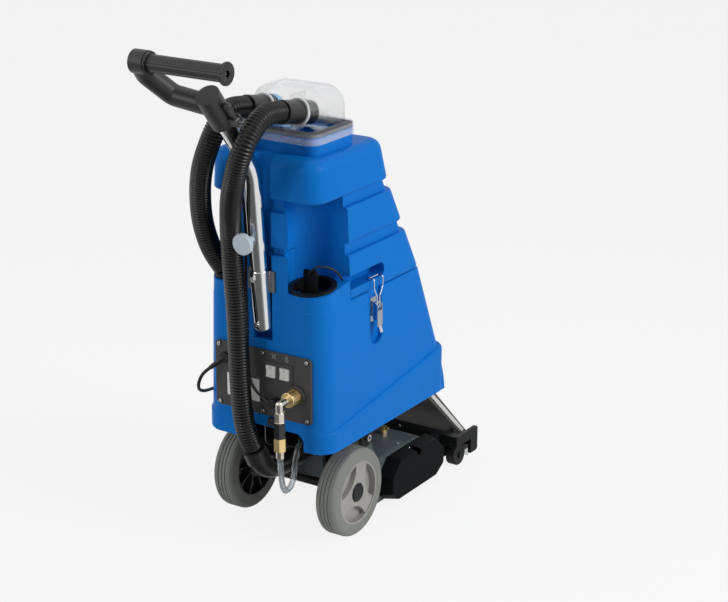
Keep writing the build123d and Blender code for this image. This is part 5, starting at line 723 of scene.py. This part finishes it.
def spun(bm, profile_mm, place, steps=24):
    """A profile of radii and heights spun round its own Z and put in its place."""
    older = set(bm.verts)
    points = [bm.verts.new((radius / 1000, 0, height / 1000)) for radius, height in profile_mm]
    edges = [bm.edges.new(pair) for pair in zip(points, points[1:])]
    bmesh.ops.spin(bm, geom=points + edges, cent=(0, 0, 0), axis=(0, 0, 1), angle=2 * math.pi, steps=steps,
                   use_merge=True)
    bmesh.ops.remove_doubles(bm, verts=[v for v in bm.verts if v not in older], dist=merge_gap)
    bmesh.ops.transform(bm, matrix=place, verts=[v for v in bm.verts if v not in older])


def slab(bm, low_mm, high_mm, edge_mm, place=Matrix()):
    """A block between two corners with its edges broken."""
    low, high = Vector(low_mm) / 1000, Vector(high_mm) / 1000
    made = bmesh.ops.create_cube(bm, size=1, matrix=place @ Matrix.Translation((low + high) / 2)
                                 @ Matrix.Diagonal((*(high - low), 1)))
    bmesh.ops.bevel(bm, geom=edges_of(made["verts"]), offset=edge_mm / 1000, segments=2, profile=0.5,
                    affect="EDGES", material=-1)


def on_skin(name, place_mm, heading):
    """Where a straight look at a solid meets it, and which way its skin faces there."""
    hit, spot, normal, _ = node[name].ray_cast(Vector(place_mm) / 1000, Vector(heading))
    print(name, "skin met" if hit else "missed")
    return facing(spot * 1000, normal)


print("points closer than", merge_gap, "m are merged")

# %% [markdown]
# The brush is a steel core with a backing sleeve, drilled in rows that wind a little round it. Each hole holds
# a tuft of crimped nylon. One tuft is made, then copied along a row while it turns, and the row is copied
# round. Hair particles would be quicker, but a spin with copies gives plain faces that can be kept.

# %% Brush tufts
brush_left, brush_right, brush_y, brush_z = -141.5, 121.5, 308, 52
sleeve_bore, sleeve_radius, sleeve_steps = 20, 23, 48
rows, tufts, strands, twist = 8, 52, 5, math.radians(70)
margin, strand_middle, tuft_radius, splay = 4.0, 35.6, 0.0013, 0.05
strand_root, strand_tip, strand_length = 0.0006, 0.0004, 0.028
brush_middle = Vector((0, brush_y / 1000, brush_z / 1000))
brush_length = brush_right - brush_left
pitch = (brush_length - 2 * margin) / tufts
bm = bmesh.new()
for k in range(strands):
    angle = 2 * math.pi * k / strands
    aside = Vector((math.cos(angle), math.sin(angle), 0))
    root = Vector((brush_left + margin + pitch / 2, 0, strand_middle)) / 1000 + aside * tuft_radius
    lean = Vector((aside.x * splay, aside.y * splay, 1)).to_track_quat("Z", "Y").to_matrix().to_4x4()
    bmesh.ops.create_cone(bm, segments=4, radius1=strand_root, radius2=strand_tip, depth=strand_length,
                          cap_ends=True, matrix=Matrix.Translation(brush_middle + root) @ lean)
bmesh.ops.spin(bm, geom=bm.verts[:] + bm.edges[:] + bm.faces[:], cent=brush_middle, axis=(1, 0, 0),
               dvec=(pitch / 1000, 0, 0), angle=twist * (tufts - 1) / tufts, steps=tufts - 1,
               use_duplicate=True)
bmesh.ops.spin(bm, geom=bm.verts[:] + bm.edges[:] + bm.faces[:], cent=brush_middle, axis=(1, 0, 0),
               angle=2 * math.pi * (rows - 1) / rows, steps=rows - 1, use_duplicate=True)
spun(bm, [(sleeve_bore, 0), (sleeve_radius, 0), (sleeve_radius, brush_length), (sleeve_bore, brush_length)],
     facing((brush_left, brush_y, brush_z), (1, 0, 0)), sleeve_steps)
bristles = keep("brush_tufts", bm, bristle_grey, "brush")
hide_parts("brush_bristles")
print("strands", strands * rows * tufts)

# %% [markdown]
# The panel's screws sit in black cup washers, pressed from strip, so each is a short profile spun round its
# screw. The label is a blank white sticker, a slab thinner than a card.

# %% Panel washers and label
panel_face = -125.0
screw_columns, screw_rows = (-114, 0, 114), (299, 431)
cup_profile = [(4.6, 0.0), (7.0, 0.0), (6.9, 0.8), (6.3, 1.3), (4.6, 1.0)]
bm = bmesh.new()
for x in screw_columns:
    for z in screw_rows:
        spun(bm, cup_profile, facing((x, panel_face, z), (0, -1, 0)))
keep("panel_washers", bm, cuff_black, "chassis")

bm = bmesh.new()
slab(bm, (-94, panel_face - 0.4, 318), (-9, panel_face + 0.1, 369), 0.15)
keep("blank_label", bm, label_white, "chassis")

# %% [markdown]
# Two printed signs above the switches stand for the vacuum and the water: a fan of four blades and a drop.
# Ink has next to no thickness, but a flat face on the panel would flicker with it, so each sign is given a
# third of a millimetre. A blade is a squeezed disc. The drop is two circles, drawn to a point at the top and
# bridged into an outline.

# %% Printed signs
sign_y, sign_thickness = panel_face / 1000 - 0.0002, 0.0003
fan_place, drop_place = (0.030, sign_y, 0.4295), (0.0635, sign_y, 0.4275)
blades, blade_length, blade_width, blade_out = 4, 0.0038, 0.28, 0.0042
drop_radii, drop_narrowing, drop_curve = (0.0046, 0.0031), 0.75, 1.5
bm = bmesh.new()
for blade in range(blades):
    way = Matrix.Rotation(math.radians(45 + 90 * blade), 4, "Y") @ Matrix.Translation((0, 0, blade_out))
    squeeze = Matrix.Diagonal((blade_width, 1, 1, 1)) @ Matrix.Rotation(math.pi / 2, 4, "X")
    bmesh.ops.create_circle(bm, cap_ends=True, segments=14, radius=blade_length,
                            matrix=Matrix.Translation(fan_place) @ way @ squeeze)
outlines = []
for radius in drop_radii:
    outline = bmesh.ops.create_circle(bm, segments=24, radius=radius,
                                      matrix=Matrix.Rotation(math.pi / 2, 4, "X"))["verts"]
    for vert in outline:
        rise = max(vert.co.z / radius, 0)
        vert.co.x *= 1 - drop_narrowing * rise ** drop_curve
        vert.co.z += radius * rise ** 2
    outlines += outline
bmesh.ops.bridge_loops(bm, edges=edges_of(outlines))
bmesh.ops.translate(bm, verts=outlines, vec=drop_place)
bmesh.ops.solidify(bm, geom=bm.faces[:], thickness=sign_thickness)
keep("panel_signs", bm, mark_grey, "chassis")

# %% [markdown]
# Each rocker carries the usual bar and ring for on and off. They tip with the rocker, so they ride on it, and a
# straight look at the rocker finds the place and the slope of its skin.

# %% Marks on the two rockers
look_from, bar_height, ring_height = -200, 388, 404
for name, x in (("rocker_vacuum", 25), ("rocker_pump", 60)):
    bm = bmesh.new()
    slab(bm, (-0.6, -2.6, -0.3), (0.6, 2.6, 0.2), 0.1, on_skin(name, (x, look_from, bar_height), (0, 1, 0)))
    spun(bm, [(1.5, -0.3), (1.5, 0.2), (2.6, 0.2), (2.6, -0.3)],
         on_skin(name, (x, look_from, ring_height), (0, 1, 0)), 20)
    keep(name + "_marks", bm, mark_grey, name)

# %% [markdown]
# Screws are cold formed: a flat head with a round socket pressed in. They hold the belt cover in its notch, the
# deck's cover plate, the front bar and the end of the grip. Each head is the same profile spun where a straight
# look meets the piece it holds.

# %% Small screws
screw_head = [(0, 0.8), (2.6, 0.8), (2.7, 2.4), (5.2, 2.4), (6.0, 1.7), (6.1, -0.6)]
small_share = 0.55
small_head = [(radius * small_share, height * small_share) for radius, height in screw_head]
bm = bmesh.new()
for look in (("belt_cover", (200, 244, 113), (-1, 0, 0)), ("deck_cover", (121, 226, 240), (0, 0, -1)),
             ("shoe_frame", (10, 300, 80.5), (0, 1, 0))):
    spun(bm, small_head, on_skin(*look))
keep("deck_screws", bm, zinc, "chassis")

bm = bmesh.new()
spun(bm, small_head, on_skin("handle_arm", (200, -339.9, 1080.3), (-1, 0, 0)))
keep("grip_screw", bm, zinc, "handle")

# %% [markdown]
# Collars of milky plastic seal the two hose cuffs in the lid, and a pale cap closes the inner end of the left
# one. All are turned shapes on the ports' sloping axes.

# %% Port collars and inlet cap
port_x, port_y, port_z, port_slope, port_steps = 44, -45, 943, math.radians(11), 40
port_way = Vector((0, -math.cos(port_slope), math.sin(port_slope)))
bm = bmesh.new()
for side in (-1, 1):
    spun(bm, [(25.3, -1), (29.5, -1), (29.5, 4), (28.6, 5), (25.3, 5)],
         facing((side * port_x, port_y, port_z), port_way), port_steps)
keep("port_collars", bm, collar_white, "chassis")

bm = bmesh.new()
spun(bm, [(25.3, -22), (26.6, -21.5), (27.4, -23), (27.4, -38), (24, -43.5), (14, -45), (0, -45.3)],
     facing((-port_x, port_y, port_z), port_way), port_steps)
keep("inlet_cap", bm, pale_blue, "chassis")

# %% [markdown]
# The fishtail's sloping sides carry light grey plates, a painted highlight where the light falls on them. A
# hook of bent wire and a black cable clip hang under the panel. Each plate is a slab turned to the slope, and
# the hook is a curve with a round section, as a lead is.

# %% Painted highlight plates, clip and wire hook
highlight_run, highlight_middle = (80, 88, -150), (0.106, 0.448, 0.137)
bm = bmesh.new()
# Light grey plates on both sloping sides of the fishtail: a painted highlight.
for side in (-1, 1):
    along = Vector((side * highlight_run[0], *highlight_run[1:])).normalized()
    wide = (Vector((0, 1, 0)) - along * along.y).normalized()
    outward = along.cross(wide) * side
    slope = Matrix((along, wide, outward)).transposed().to_4x4()
    spot = Matrix.Translation((side * highlight_middle[0], *highlight_middle[1:]))
    slab(bm, (-84, -6, -0.5), (84, 6, 1.8), 0.6, spot @ slope)
keep("shoe_side_highlights", bm, shoe_highlight_grey, "shoe")

bm = bmesh.new()
slab(bm, (15, -133, 270), (31, -119.2, 288), 2.0)
slab(bm, (18, -137, 272), (28, -131.5, 281), 1.5)
keep("cable_clip", bm, black_nylon, "chassis")

hook = round_lead("wire_hook", [(-2, -116, 266), (-2, -116, 236), (-2, -116.5, 226), (3, -117.5, 222),
                                (14, -118, 221)], 2.2, steel)
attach(hook, "chassis")
print("hook points", len(hook.data.splines[0].points))

# %% [markdown]
# ## The floor
# The photograph is a studio cut-out on a very pale ground, so the floor is one wide pale sheet. More light on
# it would bleach the machine too. So what looks straight at the floor mostly sees its own pale colour, and the
# rest is lit, so that it still takes a soft shadow. Chrome shows nothing but what stands round it, and a studio
# sets white and grey cards there. Here the floor itself has those cards, as sectors that only reflections see.

# %% Floor sheet
floor_reach = 20
ground = bpy.data.meshes.new("floor")
bm = bmesh.new()
bmesh.ops.create_grid(bm, x_segments=1, y_segments=1, size=floor_reach)
bm.to_mesh(ground)
bm.free()
floor = bpy.data.objects.new("floor", ground)
bpy.context.scene.collection.objects.link(floor)
print("floor", 2 * floor_reach, "m across")

# %% Pale finish with cards
floor_colour, floor_glow, glow_share = "#f5f5f5", "#fafafa", 0.9
card_levels = [(0.0, 0.95), (0.05, 0.95), (0.10, 0.7), (0.165, 0.55), (0.18, 0.08), (0.34, 0.09), (0.38, 0.3),
               (0.41, 1.0), (0.57, 1.0), (0.61, 0.5), (0.68, 0.48), (0.82, 0.66), (0.87, 0.95), (1.0, 0.95)]


def seen_straight(tree):
    """What a ray is, and one where the camera, clear plastic or a reflection looks at a thing."""
    path = add(tree, "ShaderNodeLightPath")
    through = add(tree, "ShaderNodeMath", operation="MAXIMUM",
                  links={0: path.outputs["Is Camera Ray"], 1: path.outputs["Is Transmission Ray"]})
    return path, add(tree, "ShaderNodeMath", operation="MAXIMUM",
                     links={0: through.outputs[0], 1: path.outputs["Is Glossy Ray"]})


material, tree, place = start("studio_floor")
path, seen = seen_straight(tree)
part = add(tree, "ShaderNodeMath", {1: glow_share}, {0: seen.outputs[0]}, operation="MULTIPLY")
lit = add(tree, "ShaderNodeBsdfDiffuse", {"Color": linear(floor_colour)})
round_about = add(tree, "ShaderNodeTexGradient", links={"Vector": place}, gradient_type="RADIAL")
cards = add(tree, "ShaderNodeValToRGB", links={0: round_about.outputs["Fac"]})
stops = cards.color_ramp.elements
stops[0].position, stops[1].position = card_levels[0][0], card_levels[-1][0]
for share, _ in card_levels[1:-1]:
    stops.new(share)
for stop, (_, level) in zip(stops, card_levels):
    stop.color = (level, level, level, 1)
shown = add(tree, "ShaderNodeMix", {mix_first: linear(floor_glow)},
            {mix_share: path.outputs["Is Glossy Ray"], mix_second: cards.outputs[0]}, data_type="RGBA")
glow = add(tree, "ShaderNodeEmission", {"Strength": 1.0}, {"Color": shown.outputs[mixed]})
close(tree, add(tree, "ShaderNodeMixShader", links={0: part.outputs[0], 1: lit.outputs[0], 2: glow.outputs[0]}))
dress(floor, material)
print("floor cards", len(stops))

# %% [markdown]
# ## The room and the lamps
# A studio's pale walls fill the shadows with an even light, and what looks straight at them sees a pale grey
# that goes on where the floor ends. A large lamp on the right lights the machine's side, the brightest in the
# photograph. Three weaker ones above, behind and to the left keep the other sides readable.

# %% Room
room_colour, room_strength, behind_colour = "#f1f3f6", 0.34, "#f1f1f1"
world = bpy.data.worlds.new("studio")
bpy.context.scene.world = world
world.use_nodes = True
tree = world.node_tree
tree.nodes.clear()
_, seen = seen_straight(tree)
room = add(tree, "ShaderNodeBackground", {"Color": linear(room_colour), "Strength": room_strength})
behind = add(tree, "ShaderNodeBackground", {"Color": linear(behind_colour), "Strength": 1.0})
both = add(tree, "ShaderNodeMixShader", links={0: seen.outputs[0], 1: room.outputs[0], 2: behind.outputs[0]})
add(tree, "ShaderNodeOutputWorld", links={"Surface": both.outputs[0]})
print("room", world.name, "at", room_strength)

# %% Lamps


def lamp(name, place, target, size, power, spread):
    """A large soft lamp that points at a place, with its light kept within a spread of degrees."""
    data = bpy.data.lights.new(name, "AREA")
    data.shape = "DISK"
    data.size = size
    data.energy = power
    data.spread = math.radians(spread)
    made = bpy.data.objects.new(name, data)
    aim = (Vector(target) - Vector(place)).to_track_quat("-Z", "Y").to_matrix().to_4x4()
    made.matrix_world = Matrix.Translation(place) @ aim
    bpy.context.scene.collection.objects.link(made)
    print(name, power, "W")


lamp("side_lamp", (3.4, 0.6, 2.2), (0, 0.1, 0.5), 2.2, 36, 110)
lamp("top_lamp", (0.2, 0.4, 4.0), (0, 0.1, 0.5), 2.5, 5, 110)
lamp("rear_lamp", (-1.2, -3.4, 1.8), (0, 0, 0.6), 1.2, 10, 120)
lamp("left_lamp", (-3.2, -1.6, 1.9), (0, 0, 0.6), 2.0, 9, 120)
bpy.context.scene.view_settings.view_transform = "Standard"
